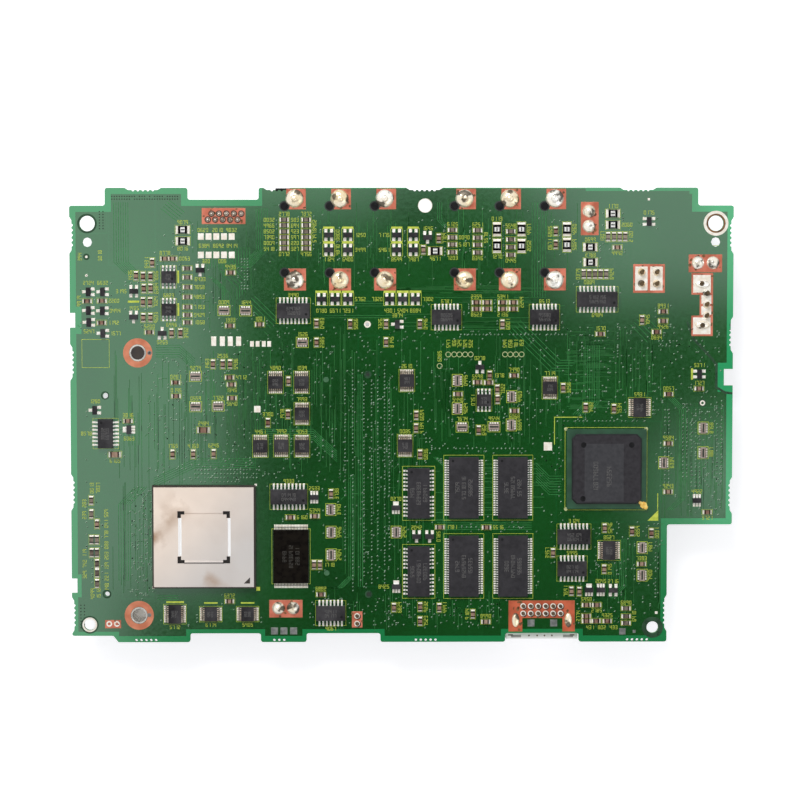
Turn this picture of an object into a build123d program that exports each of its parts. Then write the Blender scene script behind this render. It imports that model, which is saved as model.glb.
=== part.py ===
from build123d import *
import os

# Machine control board, solder side up. Lengths in millimetres.
# The origin lies under the middle of the board, in the plane that the lower-side parts stand on.
# +X runs along the long edge, +Y across it and +Z out of the solder side.

os.makedirs("parts", exist_ok=True)

# Board
board_length = 224.0
board_width = 154.0
board_thickness = 1.6
underside_height = 15.0          # what the parts on the lower side stand out by
board_corner = 0.8               # radius on the routed outline
small_round_sides = 8            # sides that stand for a small round shape

# Places in the layout are written for a board of 224 by 154 and spread with the board
spread_x = board_length / 224.0
spread_y = board_width / 154.0

board_bottom = underside_height
board_top = board_bottom + board_thickness
right_edge = board_length / 2
left_edge = -right_edge
top_edge = board_width / 2
bottom_edge = -top_edge

# Routed steps and notches of the outline, measured inwards from the edges
corner_step_length = 12.0
corner_step_depth = 6.0
top_recess_depth = 4.0
top_recess_ends = (-72.2, -48.2)
lower_recess_depth = 3.0
lower_recess_ends = ((-71.9, -47.9), (-32.4, -7.3))
connector_notch_play = 0.3
right_step_length = 22.0
right_step_height = 40.0
left_foot_height = 2.2
left_foot_length = 14.0
left_foot_slope = 1.7
right_notch = (13.0, 5.6, 3.0)   # middle, height and depth
left_notches = ((32.4, 5.0, 1.8), (-57.7, 5.0, 1.9))

# Snapped panel tabs: a shallow recess with a row of half holes
tab_hole_radius = 0.5
tab_hole_sides = 6
tab_hole_pitch = 1.67
tab_recess_depth = 0.75
tab_slope = 1.2
tab_overshoot = 0.5              # how far the cutting shape reaches past the edge
top_tabs = (-87.2, 7.7, 79.8)
short_top_tab = -42.1
left_tabs = (61.1, 18.2, -25.9, -67.8)
right_tabs = (60.9, 27.3, -27.1)
lower_right_tab = -67.2
lower_tabs = (-86.9, 8.1, 80.0)
short_lower_tab = -41.7
tab_web = 0.15                   # left between the lower rows of holes and the edge

# Holes through the board, by the edges they lie at or by x, y and radius
corner_hole_radius = 2.6
corner_hole_x = right_edge - 6.0
corner_hole_y = top_edge - 12.0
screw_inset = 6.0
step_screw_inset = 4.8
step_screw_rise = 4.9
screw_holes = (
    (7.9 * spread_x, top_edge - screw_inset, 2.15),
    (left_edge + screw_inset, bottom_edge + screw_inset, 1.9),
    (right_edge - right_step_length - step_screw_inset, bottom_edge + step_screw_rise, 2.0),
)
tooling_hole_radius = 1.65
tooling_hole_drop = 6.3          # below the corner holes
guide_holes = ((-100.1, 6.8, 1.1), (-100.0, -60.5, 0.85))
test_holes = (
    (-11.6, 31.0, 0.5),
    (-11.5, 14.0, 0.5),
    (-11.3, -60.7, 0.7),
    (-99.4, -70.7, 0.5),
    (-96.8, -70.7, 0.5),
)

# Fuse blocks: two rows of heavy solder joints with a moulded block between them
fuse_columns = (-36.1, -20.9, -5.7, 21.2, 36.4, 51.6)
fuse_row_middle = 59.65 * spread_y
fuse_pin_spacing = 27.4
fuse_tail_width = 3.2
fuse_tail_clearance = 0.2
fuse_peg_offset = 3.4
fuse_peg_spacing = 22.4
fuse_peg_radius = 1.1
fuse_peg_clearance = 0.15
fuse_peg_stand_out = 0.5
fuse_block_length = 34.4
fuse_block_width = 13.0
fuse_block_floor = 4.0
fuse_block_end = 1.1
fuse_radius = 3.1
fuse_length = 31.8
fuse_cap_length = 6.4
fuse_cap_wall = 0.15
fuse_sides = 12
fuse_clip_width = 5.0
fuse_clip_thickness = 0.5
fuse_clip_play = 0.1             # between a clip's arm and the fuse
fuse_clip_knee = 1.4             # from the fuse's axis down to the bend of the arms
fuse_clip_knee_thickness = 0.15
fuse_clip_mouth = 2.5            # half the gap between the tips of the arms
fuse_gap_to_floor = 0.5          # the fuse rests on the base of its clips
heavy_joint_radius = 3.1
heavy_joint_height = 1.15
heavy_joint_slope = 25

# Upright can capacitors
can_radius = 5.0
can_lead_spacing = 5.1
can_groove_height = 2.6
can_groove_depth = 0.4
can_groove_width = 1.0
can_edge = 0.5
can_joint_radius = 2.2
can_joint_height = 1.5
can_joint_slope = 40

# Threaded ground standoffs, swaged into the board
standoff_places = ((-89.2, 21.4), (-89.2, -67.8))
standoff_across_flats = 8.0
standoff_shank_radius = 2.8
standoff_bore_radius = 2.3
standoff_blind_depth = 12.0

# Ten-pin zigzag header
zigzag_middle = (-59.75 * spread_x, 67.3 * spread_y)
zigzag_pitch = 2.5
zigzag_row_gap = 2.0
zigzag_count = 5
zigzag_body_height = 9.0
zigzag_shell_width = 5.4
zigzag_shell_end = 1.2           # shell beyond the outer pins
zigzag_wall = 0.8
zigzag_floor = 2.0
zigzag_key_width = 3.5
zigzag_key_depth = 5.0
zigzag_pin_recess = 1.2          # the pins end this far inside the shell's mouth
square_pin = 0.64

# Two-pin header
pair_header_middle = (-15.2 * spread_x, -69.5 * spread_y)
pair_header_pitch = 2.6
pair_header_height = 7.0

# Four-way power socket, open downwards
power_socket_middle = (83.5 * spread_x, 46.6 * spread_y)
power_socket_pitch_x = 5.1
power_socket_pitch_y = 3.9
power_socket_length = 13.0
power_socket_width = 11.6
power_socket_wall = 1.2
power_socket_floor = 4.0
power_socket_clearance = 2.0     # its mouth lies this far above the plane the board stands on
power_pin_size = 1.1
power_pin_height = 4.5

# Three-way supply connector, open to the right edge
supply_pin_pitch = 3.75
supply_middle_y = 37.6 * spread_y
supply_pin_x = right_edge - 9.1
supply_back_x = right_edge - 14.4
supply_setback = 0.6             # its mouth lies this far inside the board's edge
supply_width = 17.4
supply_height = 11.4
supply_wall = 1.3
supply_cavity_width = 14.8
supply_cavity_depth = 9.6
supply_blade_length = 4.6
supply_blade_size = (1.5, 0.8)
supply_tab_offset = 6.9
supply_tab_x = right_edge - 10.4
supply_can_x = right_edge - 9.45   # the can capacitor that stands beside the connector
supply_can_clearance = 0.4

# Twelve-way signal connector, open to the lower edge through the notch
signal_middle_x = 47.6 * spread_x
signal_pitch = 2.54
signal_columns = 6
signal_rows = (bottom_edge + 12.1, bottom_edge + 9.6)
signal_length = 24.4
signal_back_y = bottom_edge + 13.6
signal_setback = 0.8
signal_height = 12.4
signal_wall = 1.6
signal_cavity_depth = 7.6
signal_tongue_height = 3.0
signal_tongue_length = 15.2
signal_contact_width = 0.9
signal_contact_thickness = 0.3
signal_contact_length = 6.1
signal_tab_offset = 8.95
signal_tab_y = bottom_edge + 7.4

# Smaller solder joints
pin_joint_radius = 0.75
pin_joint_height = 0.9
pin_joint_slope = 25
pin_joint_sides = 5
power_joint_radius = 1.3
power_joint_height = 1.1
power_joint_slope = 35
tab_joint_length = 5.0
tab_joint_width = 2.6
tab_joint_height = 0.6
tab_joint_slope = 45

# Lidded ball-grid controller
controller_middle = (-67.0, -40.9)
controller_size = 35.0
controller_lid = 33.8
controller_ball_height = 0.5
controller_substrate = 1.2
controller_lid_height = 1.3
controller_panel = 17.8
controller_panel_depth = 0.35
controller_panel_slope = 45
controller_slot_leg = 2.4
controller_slot_width = 1.2
controller_slot_depth = 1.0

# Moulded ball-grid processor
processor_middle = (69.35, -18.0)
processor_size = 27.0
processor_cap = 23.7
processor_cap_corner = 1.6
processor_substrate = 0.6
processor_ball_height = 0.4
processor_cap_height = 1.2
processor_cap_slope = 21
ejector_radius = 0.8
ejector_depth = 0.12
ejector_marks = ((-8.0, 8.1), (8.3, 8.1), (-8.0, -8.1))
ball_margin = 1.2                # from a ball-grid package's edge to its outer balls

# Moulded packages: length along the lead rows, width across them, height and stand-off
chip_stand_off = 0.1
mould_draft = 7
small_outline_width = 5.3
small_outline_height = 1.9
small_outline_pitch = 1.27
small_outline_margin = 1.2       # body beyond the outer leads, at each end
small_outline_reach = 1.55       # lead from body to toe
small_outline_lead = 0.42
narrow_outline_width = 4.2
narrow_outline_height = 1.5
narrow_outline_reach = 1.5
dram_width = 7.6
dram_height = 1.1
dram_length = 17.2
dram_reach = 1.1
memory_length = 20.9
memory_width = 10.2
memory_height = 1.1
memory_pitch = 0.8
memory_count = 25
memory_lead = 0.34
memory_reach = 1.15
flash_length = 12.2
flash_width = 18.4
flash_pitch = 0.5
flash_count = 24
flash_lead = 0.24
fine_pitch_width = 4.4
fine_pitch_height = 1.0
fine_pitch_reach = 1.2
fine_pitch_margin = 0.25
sixteen_way_length = 5.0
twenty_way_length = 6.5
lead_thickness = 0.2
transistor_length = 3.0
transistor_width = 1.7
transistor_height = 1.1
transistor_reach = 0.75
transistor_lead = 0.7
transistor_pitch = 1.9
six_way_pitch = 0.95
tab_width = 1.6

# Chip parts
chip_length = 2.0
chip_width = 1.25
chip_capacitor_height = 0.8
chip_resistor_height = 0.5
power_resistor_length = 3.2
power_resistor_width = 2.5
power_resistor_height = 0.6
power_capacitor_length = 3.2
power_capacitor_width = 1.75
power_capacitor_height = 1.2
network_length = 3.6
network_width = 1.9
network_height = 0.6


def place(x, y, turn=0):
    """A place in the layout, moved with the board's size, and a turn about Z."""
    return Location((x * spread_x, y * spread_y, 0), (0, 0, turn))


def places(points, turn=0):
    """Places for parts that share one turn about Z."""
    return [place(x, y, turn) for x, y in points]


def row(count, pitch):
    """Offsets of an evenly spaced row about its middle."""
    return [(index - (count - 1) / 2) * pitch for index in range(count)]


def lead_places(chips, width, upper, lower):
    """Places for leads on both long sides of each chip, by their offsets along it."""
    spots = []
    for chip in chips:
        spots += [chip * Location((x, width / 2, board_top)) for x in upper]
        spots += [chip * Location((x, -width / 2, board_top), (0, 0, 180)) for x in lower]
    return spots


def wedge_lead(width, reach, height):
    """A lead, or a whole row of fine ones, that slopes from the side of a body to its foot."""
    with BuildPart() as lead:
        with BuildSketch(Plane.YZ):
            with BuildLine():
                Polyline((0, height), (reach, 0), (0, height - 2 * lead_thickness), close=True)
            make_face()
        extrude(amount=width / 2, both=True)
    return lead.part


# Board

foot_x = left_edge + left_foot_length
top_recess = [x * spread_x for x in top_recess_ends]
notch_reach = signal_length / 2 + connector_notch_play
connector_notch = (signal_middle_x - notch_reach, signal_middle_x + notch_reach)
outline = [
    (left_edge, top_edge - corner_step_depth),
    (left_edge + corner_step_length, top_edge - corner_step_depth),
    (left_edge + corner_step_length, top_edge),
    (top_recess[0], top_edge),
    (top_recess[0], top_edge - top_recess_depth),
    (top_recess[1], top_edge - top_recess_depth),
    (top_recess[1], top_edge),
    (right_edge - corner_step_length, top_edge),
    (right_edge - corner_step_length, top_edge - corner_step_depth),
    (right_edge, top_edge - corner_step_depth),
    (right_edge, bottom_edge + right_step_height),
    (right_edge - right_step_length, bottom_edge + right_step_height),
    (right_edge - right_step_length, bottom_edge),
    (connector_notch[1], bottom_edge),
    (connector_notch[1], bottom_edge + lower_recess_depth),
    (connector_notch[0], bottom_edge + lower_recess_depth),
    (connector_notch[0], bottom_edge),
]
for recess_ends in reversed(lower_recess_ends):
    recess_start, recess_end = [x * spread_x for x in recess_ends]
    outline += [
        (recess_end, bottom_edge),
        (recess_end, bottom_edge + lower_recess_depth),
        (recess_start, bottom_edge + lower_recess_depth),
        (recess_start, bottom_edge),
    ]
outline += [
    (foot_x + left_foot_slope, bottom_edge),
    (foot_x, bottom_edge + left_foot_height),
    (left_edge, bottom_edge + left_foot_height),
]


def tab_recess(hole_count):
    """The shallow recess of one snapped tab, as a sketch whose mouth lies on the X axis."""
    half = (hole_count + 1) / 2 * tab_hole_pitch
    with BuildSketch() as recess:
        with BuildLine():
            Polyline(
                (-half - tab_slope, tab_overshoot),
                (-half - tab_slope, 0),
                (-half, -tab_recess_depth),
                (half, -tab_recess_depth),
                (half + tab_slope, 0),
                (half + tab_slope, tab_overshoot),
                close=True,
            )
        make_face()
        with Locations((0, -tab_recess_depth)):
            with GridLocations(tab_hole_pitch, 1, hole_count, 1):
                RegularPolygon(tab_hole_radius, tab_hole_sides)
    return recess.sketch


full_tab = tab_recess(5)
short_tab = tab_recess(3)
lower_tab_y = bottom_edge + tab_web + tab_hole_radius
fuse_block_x = [x * spread_x for x in fuse_columns]
heavy_joint_y = [fuse_row_middle + side * fuse_pin_spacing / 2 for side in (1, -1)]
heavy_joints = [(x, y) for x in fuse_block_x for y in heavy_joint_y]
peg_y = [fuse_row_middle + side * fuse_peg_spacing / 2 for side in (1, -1)]
peg_points = [(x - fuse_peg_offset, y) for x in fuse_block_x for y in peg_y]
tail_slot = (fuse_tail_width + fuse_tail_clearance, fuse_clip_thickness + fuse_tail_clearance)

with BuildPart() as pcb:
    with BuildSketch(Plane.XY.offset(board_bottom)) as board_plan:
        with BuildLine():
            Polyline(*outline, close=True)
        make_face()
        fillet(board_plan.vertices(), board_corner)
        with Locations((right_edge, right_notch[0] * spread_y)):
            Rectangle(2 * right_notch[2], right_notch[1], mode=Mode.SUBTRACT)
        for notch_y, notch_height, notch_depth in left_notches:
            with Locations((left_edge, notch_y * spread_y)):
                Rectangle(2 * notch_depth, notch_height, mode=Mode.SUBTRACT)
        with Locations(*[Location((x * spread_x, top_edge)) for x in top_tabs]):
            add(full_tab, mode=Mode.SUBTRACT)
        with Locations(Location((short_top_tab * spread_x, top_edge))):
            add(short_tab, mode=Mode.SUBTRACT)
        with Locations(*[Location((left_edge, y * spread_y), 90) for y in left_tabs]):
            add(full_tab, mode=Mode.SUBTRACT)
        with Locations(*[Location((right_edge, y * spread_y), -90) for y in right_tabs]):
            add(full_tab, mode=Mode.SUBTRACT)
        with Locations(Location((right_edge - right_step_length, lower_right_tab * spread_y), -90)):
            add(full_tab, mode=Mode.SUBTRACT)
        for tab_x, hole_count in [(x, 5) for x in lower_tabs] + [(short_lower_tab, 3)]:
            with Locations((tab_x * spread_x, lower_tab_y)):
                with GridLocations(tab_hole_pitch, 1, hole_count, 1):
                    RegularPolygon(tab_hole_radius, tab_hole_sides, mode=Mode.SUBTRACT)
        with Locations((corner_hole_x, corner_hole_y), (-corner_hole_x, corner_hole_y)):
            Circle(corner_hole_radius, mode=Mode.SUBTRACT)
            with Locations((0, -tooling_hole_drop)):
                RegularPolygon(tooling_hole_radius, small_round_sides, mode=Mode.SUBTRACT)
        for hole_x, hole_y, hole_radius in screw_holes:
            with Locations((hole_x, hole_y)):
                Circle(hole_radius, mode=Mode.SUBTRACT)
        for hole_x, hole_y, hole_radius in guide_holes + test_holes:
            with Locations(place(hole_x, hole_y)):
                RegularPolygon(hole_radius, small_round_sides, mode=Mode.SUBTRACT)
        with Locations(*places(standoff_places)):
            Circle(standoff_shank_radius, mode=Mode.SUBTRACT)
        with Locations(*heavy_joints):
            Rectangle(*tail_slot, mode=Mode.SUBTRACT)
        with Locations(*peg_points):
            RegularPolygon(fuse_peg_radius + fuse_peg_clearance, small_round_sides, mode=Mode.SUBTRACT)
    extrude(amount=board_thickness)
pcb.part.label = "pcb"
export_step(pcb.part, "parts/pcb.step")


# Placement lists

dual_transistors = [(x, y) for x in (-24.6, -18.2, -1.7, 3.9) for y in (61.1, 56.1)]
dual_transistors += [(x, 39.5) for x in (-27.1, -22.5, -18.2, -4.1, 0.3, 4.6)]
dual_transistors += [(-90.4, 42.2), (71.8, -59.4)]
turned_dual_transistors = [(83.4, 65.6), (100.7, 14.1)]
transistors = {
    0: [(-80.9, 28.0), (26.4, 16.5)],
    90: [
        (-105.7, 42.0), (-100.9, 42.0), (-105.7, 35.7), (-101.0, 35.6), (-105.6, 31.7),
        (-100.9, 28.0), (-103.8, 2.0), (-1.5, 31.0),
    ],
    180: [(-90.5, 33.5), (-68.0, 49.3), (8.7, 60.3), (5.0, -41.0), (9.4, -41.0)],
}
tabbed_transistors = {0: [(-2.0, -31.2), (-1.9, -58.1), (63.6, -59.3)], 90: [(-92.3, -4.6)]}
six_way_transistors = [(100.1, -28.8), (-29.7, -27.6), (67.6, -59.3)]

upright_capacitors = [
    (-84.1, 51.8), (-89.6, 47.4), (-87.2, 47.2), (-84.7, 47.2), (-87.0, 43.1), (-84.7, 43.2),
    (-87.3, 38.6), (-84.9, 38.6), (-87.2, 33.3), (-84.8, 33.3), (-77.7, 28.1), (-74.7, 28.1),
    (-103.3, -36.6), (-77.6, -12.9), (-70.6, -12.9), (-63.7, -12.8), (12.5, 60.0), (7.3, 56.1),
    (51.9, 62.3), (51.9, 57.9), (-28.8, 31.3), (-28.8, 24.9), (-38.3, 11.8), (-38.5, 0.6),
    (-45.3, -2.2), (-17.4, 31.1), (-5.3, 31.1), (-5.3, 25.0), (6.1, 31.1), (34.0, 31.0),
    (4.9, 0.2), (4.8, -4.1), (6.2, -13.0), (32.3, 9.0), (32.4, 5.6), (29.7, 13.7), (54.6, 9.5),
    (62.2, 2.8), (71.8, 2.4), (26.0, -4.8), (81.2, 32.4), (51.3, -46.6), (57.6, -59.7),
    (60.3, -59.8), (68.8, -38.2), (68.7, -52.2), (78.1, -39.3), (84.7, -39.9), (12.7, -65.3),
    (6.2, -65.0), (6.2, -69.9), (-2.7, -65.2), (24.1, -67.5), (-24.0, -26.4), (-29.8, -50.6),
    (-27.8, -50.6),
]
upright_capacitors += [(x, 17.6) for x in (-63.8, -60.5, -58.0)]
flat_capacitors = [
    (-79.8, 53.2), (-77.2, 53.2), (-57.7, 48.5), (-106.1, 38.9), (-101.1, 39.0), (-101.3, 31.6),
    (-85.2, 28.4), (-76.4, 11.4), (-76.3, 6.8), (-92.6, -1.6), (-58.0, 30.6), (-48.0, 31.0),
    (-58.2, 13.1), (-57.6, 10.7), (-57.4, 6.1), (19.0, 7.4), (25.6, 11.4), (29.4, 11.3),
    (38.0, 13.7), (38.1, 1.7), (67.1, 27.7), (88.3, 35.3), (88.3, 32.1), (86.1, 28.4),
    (90.3, 7.3), (100.6, 9.2), (90.3, -9.4), (90.3, -25.8), (103.6, -32.8), (12.9, -37.8),
    (28.7, -37.9), (-37.8, -34.4), (-29.5, -34.0), (-27.5, -60.7), (-58.5, -63.0), (28.5, -70.1),
    (62.7, -64.4), (66.2, -64.4), (62.7, -68.2), (62.7, -69.9), (66.0, -69.9), (69.8, -69.9),
    (81.4, -50.4), (72.7, 56.9),
]
flat_capacitors += [(x, y) for x in (25.2, 28.8, 34.1, 37.7) for y in (38.4, 36.2)]
flat_resistors = [(x, y) for x in (-39.6, -32.2) for y in (66.3, 64.4, 62.3, 60.4, 58.5, 56.6)]
flat_resistors += [(17.1, y) for y in (62.8, 60.3, 57.9, 55.3)]
flat_resistors += [(25.6, y) for y in (62.7, 60.2, 57.8, 55.2)]
flat_resistors += [(36.8, y) for y in (62.3, 59.6, 57.0, 54.4)]
flat_resistors += [(-72.3, y) for y in (49.9, 46.9, 43.6, 40.3, 36.9, 34.2, 31.7)]
flat_resistors += [(76.2, y) for y in (-65.6, -68.3, -70.6)]
upright_resistors = [(x, 47.9) for x in (61.4, 63.3, 65.2, 67.1, 69.0)]
upright_resistors += [(x, 60.5) for x in (69.6, 71.6, 73.5, 75.4)]
upright_resistors += [(-105.2, y) for y in (-28.6, -33.2, -42.0, -46.4)]
upright_resistors += [(-103.4, y) for y in (-42.0, -46.4, -50.1, -53.3, -56.9)]
large_capacitors = [(-97.1, -13.0), (-67.1, -4.7)]
flat_wide_chips = [
    (-73.8, 62.9), (-73.8, 59.1), (11.3, 55.7), (63.6, 57.0),
    (63.7, 51.9), (71.2, 68.3), (71.2, 64.5),
]
upright_wide_chips = [(x, y) for x in (32.1, 40.4) for y in (63.0, 57.4)]
upright_wide_chips += [(55.7, 63.0), (55.7, 57.8)]
flat_arrays = [
    (-60.0, 35.7), (-52.7, 35.6), (-69.7, 13.5), (-69.7, 3.2), (-62.1, 3.4), (-33.6, 24.9),
    (20.4, -3.8), (31.2, -3.7),
]
upright_arrays = [
    (18.8, 12.0), (18.8, 2.5), (37.2, 6.5), (37.1, -3.1), (-24.1, -31.8), (-24.0, -39.5),
    (-24.0, -47.2), (-1.9, -39.5), (102.1, -4.2), (102.1, -12.6), (88.8, -16.0), (81.6, -44.9),
    (81.6, -54.3),
]


# Lidded ball-grid controller

controller_seat = board_top + controller_ball_height
with BuildPart() as controller_substrate_plate:
    with BuildSketch(Plane.XY.offset(board_top)):
        with Locations(place(*controller_middle)):
            Rectangle(controller_size - 2 * ball_margin, controller_size - 2 * ball_margin)
    extrude(amount=controller_ball_height)
    with BuildSketch(Plane.XY.offset(controller_seat)):
        with Locations(place(*controller_middle)):
            Rectangle(controller_size, controller_size)
    extrude(amount=controller_substrate)
controller_substrate_plate.part.label = "controller_substrate"
export_step(controller_substrate_plate.part, "parts/controller_substrate.step")

controller_lid_seat = controller_seat + controller_substrate
controller_lid_top = controller_lid_seat + controller_lid_height
slot_reach = (controller_panel - controller_slot_leg) / 2
slot_middle = (controller_panel - controller_slot_width) / 2
with BuildPart() as controller_lid_cover:
    with BuildSketch(Plane.XY.offset(controller_lid_seat)):
        with Locations(place(*controller_middle)):
            Rectangle(controller_lid, controller_lid)
    extrude(amount=controller_lid_height)
    with BuildSketch(Plane.XY.offset(controller_lid_top)):
        with Locations(place(*controller_middle)):
            Rectangle(controller_panel - controller_slot_width, controller_panel - controller_slot_width)
    extrude(amount=-controller_panel_depth, taper=controller_panel_slope, mode=Mode.SUBTRACT)
    with BuildSketch(Plane.XY.offset(controller_lid_top)):
        with Locations(*[place(*controller_middle, turn) for turn in (0, 90, 180, 270)]):
            with Locations((slot_reach, slot_middle)):
                Rectangle(controller_slot_leg, controller_slot_width)
            with Locations((slot_middle, slot_reach)):
                Rectangle(controller_slot_width, controller_slot_leg)
    extrude(amount=-controller_slot_depth, mode=Mode.SUBTRACT)
controller_lid_cover.part.label = "controller_lid"
export_step(controller_lid_cover.part, "parts/controller_lid.step")


# Moulded ball-grid processor

processor_seat = board_top + processor_ball_height
with BuildPart() as processor_substrate_plate:
    with BuildSketch(Plane.XY.offset(board_top)):
        with Locations(place(*processor_middle)):
            Rectangle(processor_size - 2 * ball_margin, processor_size - 2 * ball_margin)
    extrude(amount=processor_ball_height)
    with BuildSketch(Plane.XY.offset(processor_seat)):
        with Locations(place(*processor_middle)):
            Rectangle(processor_size, processor_size)
    extrude(amount=processor_substrate)
processor_substrate_plate.part.label = "processor_substrate"
export_step(processor_substrate_plate.part, "parts/processor_substrate.step")

processor_cap_seat = processor_seat + processor_substrate
with BuildPart() as processor_moulding:
    with BuildSketch(Plane.XY.offset(processor_cap_seat)) as cap_plan:
        with Locations(place(*processor_middle)):
            Rectangle(processor_cap, processor_cap)
        chamfer(cap_plan.vertices(), processor_cap_corner)
    extrude(amount=processor_cap_height, taper=processor_cap_slope)
    with BuildSketch(Plane.XY.offset(processor_cap_seat + processor_cap_height)):
        with Locations(place(*processor_middle)):
            with Locations(*ejector_marks):
                RegularPolygon(ejector_radius, small_round_sides)
    extrude(amount=-ejector_depth, mode=Mode.SUBTRACT)
processor_moulding.part.label = "processor_moulding"
export_step(processor_moulding.part, "parts/processor_moulding.step")


# Small-outline logic chips

logic_chips = [
    (8, place(-36.6, 35.6)),
    (7, place(15.1, 33.4)),
    (7, place(48.2, 33.4)),
    (10, place(66.0, 39.4)),
    (7, place(-100.2, -5.9, 90)),
    (9, place(-38.3, -27.4)),
    (8, place(58.4, -41.1)),
    (7, place(57.8, -52.0)),
    (7, place(-24.2, -67.1)),
]
small_chips = places([(-78.6, 47.0), (-78.6, 36.0), (27.8, 5.3)])
small_chip_length = 3 * small_outline_pitch + small_outline_margin

with BuildPart() as logic_chip_bodies:
    with BuildSketch(Plane.XY.offset(board_top + chip_stand_off)):
        for leads_a_side, spot in logic_chips:
            body_length = (leads_a_side - 1) * small_outline_pitch + 2 * small_outline_margin
            with Locations(spot):
                Rectangle(body_length, small_outline_width)
    extrude(amount=small_outline_height, taper=mould_draft)
logic_chip_bodies.part.label = "logic_chip_bodies"
export_step(logic_chip_bodies.part, "parts/logic_chip_bodies.step")

with BuildPart() as small_chip_bodies:
    with BuildSketch(Plane.XY.offset(board_top + chip_stand_off)):
        with Locations(*small_chips):
            Rectangle(small_chip_length, narrow_outline_width)
    extrude(amount=narrow_outline_height, taper=mould_draft)
small_chip_bodies.part.label = "small_chip_bodies"
export_step(small_chip_bodies.part, "parts/small_chip_bodies.step")

logic_lead = wedge_lead(small_outline_lead, small_outline_reach, small_outline_height / 2)
logic_lead_spots = []
for leads_a_side, spot in logic_chips:
    offsets = row(leads_a_side, small_outline_pitch)
    logic_lead_spots += lead_places([spot], small_outline_width, offsets, offsets)
with BuildPart() as logic_chip_leads:
    with Locations(*logic_lead_spots):
        add(logic_lead)
logic_chip_leads.part.label = "logic_chip_leads"
export_step(logic_chip_leads.part, "parts/logic_chip_leads.step")

small_lead = wedge_lead(small_outline_lead, narrow_outline_reach, narrow_outline_height / 2)
with BuildPart() as small_chip_leads:
    offsets = row(4, small_outline_pitch)
    with Locations(*lead_places(small_chips, narrow_outline_width, offsets, offsets)):
        add(small_lead)
small_chip_leads.part.label = "small_chip_leads"
export_step(small_chip_leads.part, "parts/small_chip_leads.step")


# Memory and flash

memory_chips = places([(21.0, -24.4), (37.6, -24.4), (21.0, -51.1), (37.7, -51.1)], 90)
with BuildPart() as memory_chip_bodies:
    with BuildSketch(Plane.XY.offset(board_top + chip_stand_off)):
        with Locations(*memory_chips):
            Rectangle(memory_length, memory_width)
    extrude(amount=memory_height, taper=mould_draft)
memory_chip_bodies.part.label = "memory_chip_bodies"
export_step(memory_chip_bodies.part, "parts/memory_chip_bodies.step")

memory_row = (memory_count - 1) * memory_pitch + memory_lead
with BuildPart() as memory_chip_leads:
    with Locations(*lead_places(memory_chips, memory_width, [0], [0])):
        add(wedge_lead(memory_row, memory_reach, memory_height / 2))
memory_chip_leads.part.label = "memory_chip_leads"
export_step(memory_chip_leads.part, "parts/memory_chip_leads.step")

buffer_chips = places([(5.7, -26.3), (5.7, -52.9)], 90)
with BuildPart() as buffer_memory_bodies:
    with BuildSketch(Plane.XY.offset(board_top + chip_stand_off)):
        with Locations(*buffer_chips):
            Rectangle(dram_length, dram_width)
    extrude(amount=dram_height, taper=mould_draft)
buffer_memory_bodies.part.label = "buffer_memory_bodies"
export_step(buffer_memory_bodies.part, "parts/buffer_memory_bodies.step")

buffer_lead = wedge_lead(small_outline_lead, dram_reach, dram_height / 2)
with BuildPart() as buffer_memory_leads:
    outer_rows = [x for x in row(13, small_outline_pitch) if abs(x) > small_outline_pitch / 2]
    with Locations(*lead_places(buffer_chips, dram_width, outer_rows, outer_rows)):
        add(buffer_lead)
buffer_memory_leads.part.label = "buffer_memory_leads"
export_step(buffer_memory_leads.part, "parts/buffer_memory_leads.step")

flash_chip = places([(-37.6, -47.7)])
with BuildPart() as flash_chip_body:
    with BuildSketch(Plane.XY.offset(board_top + chip_stand_off)):
        with Locations(*flash_chip):
            Rectangle(flash_length, flash_width)
    extrude(amount=memory_height, taper=mould_draft)
flash_chip_body.part.label = "flash_chip_body"
export_step(flash_chip_body.part, "parts/flash_chip_body.step")

flash_row = (flash_count - 1) * flash_pitch + flash_lead
with BuildPart() as flash_chip_leads:
    with Locations(*lead_places(flash_chip, flash_width, [0], [0])):
        add(wedge_lead(flash_row, memory_reach, memory_height / 2))
flash_chip_leads.part.label = "flash_chip_leads"
export_step(flash_chip_leads.part, "parts/flash_chip_leads.step")


# Fine-pitch drivers

sixteen_way_chips = places([
    (-42.7, 11.4), (-33.9, 11.4), (-33.8, 0.8), (-47.9, -10.2), (-40.8, -10.1), (-33.8, -10.2),
    (1.7, 12.0), (1.1, -10.1), (50.1, 9.5),
])
sixteen_way_chips += places([(-64.9, -67.4), (-52.4, -67.4)], 90)
twenty_way_chips = places([(80.5, 2.8), (70.3, -45.8), (-77.1, -67.4)], 90)

with BuildPart() as driver_chip_bodies:
    with BuildSketch(Plane.XY.offset(board_top + chip_stand_off)):
        with Locations(*sixteen_way_chips):
            Rectangle(sixteen_way_length, fine_pitch_width)
        with Locations(*twenty_way_chips):
            Rectangle(twenty_way_length, fine_pitch_width)
    extrude(amount=fine_pitch_height, taper=mould_draft)
driver_chip_bodies.part.label = "driver_chip_bodies"
export_step(driver_chip_bodies.part, "parts/driver_chip_bodies.step")

with BuildPart() as driver_chip_leads:
    for chips, length in ((sixteen_way_chips, sixteen_way_length), (twenty_way_chips, twenty_way_length)):
        row_length = length - 2 * fine_pitch_margin
        with Locations(*lead_places(chips, fine_pitch_width, [0], [0])):
            add(wedge_lead(row_length, fine_pitch_reach, fine_pitch_height / 2))
driver_chip_leads.part.label = "driver_chip_leads"
export_step(driver_chip_leads.part, "parts/driver_chip_leads.step")


# Transistors

dual_spots = places(dual_transistors) + places(turned_dual_transistors, 90)
single_spots = [spot for turn, points in transistors.items() for spot in places(points, turn)]
tabbed_spots = [spot for turn, points in tabbed_transistors.items() for spot in places(points, turn)]
six_way_spots = places(six_way_transistors)

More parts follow.
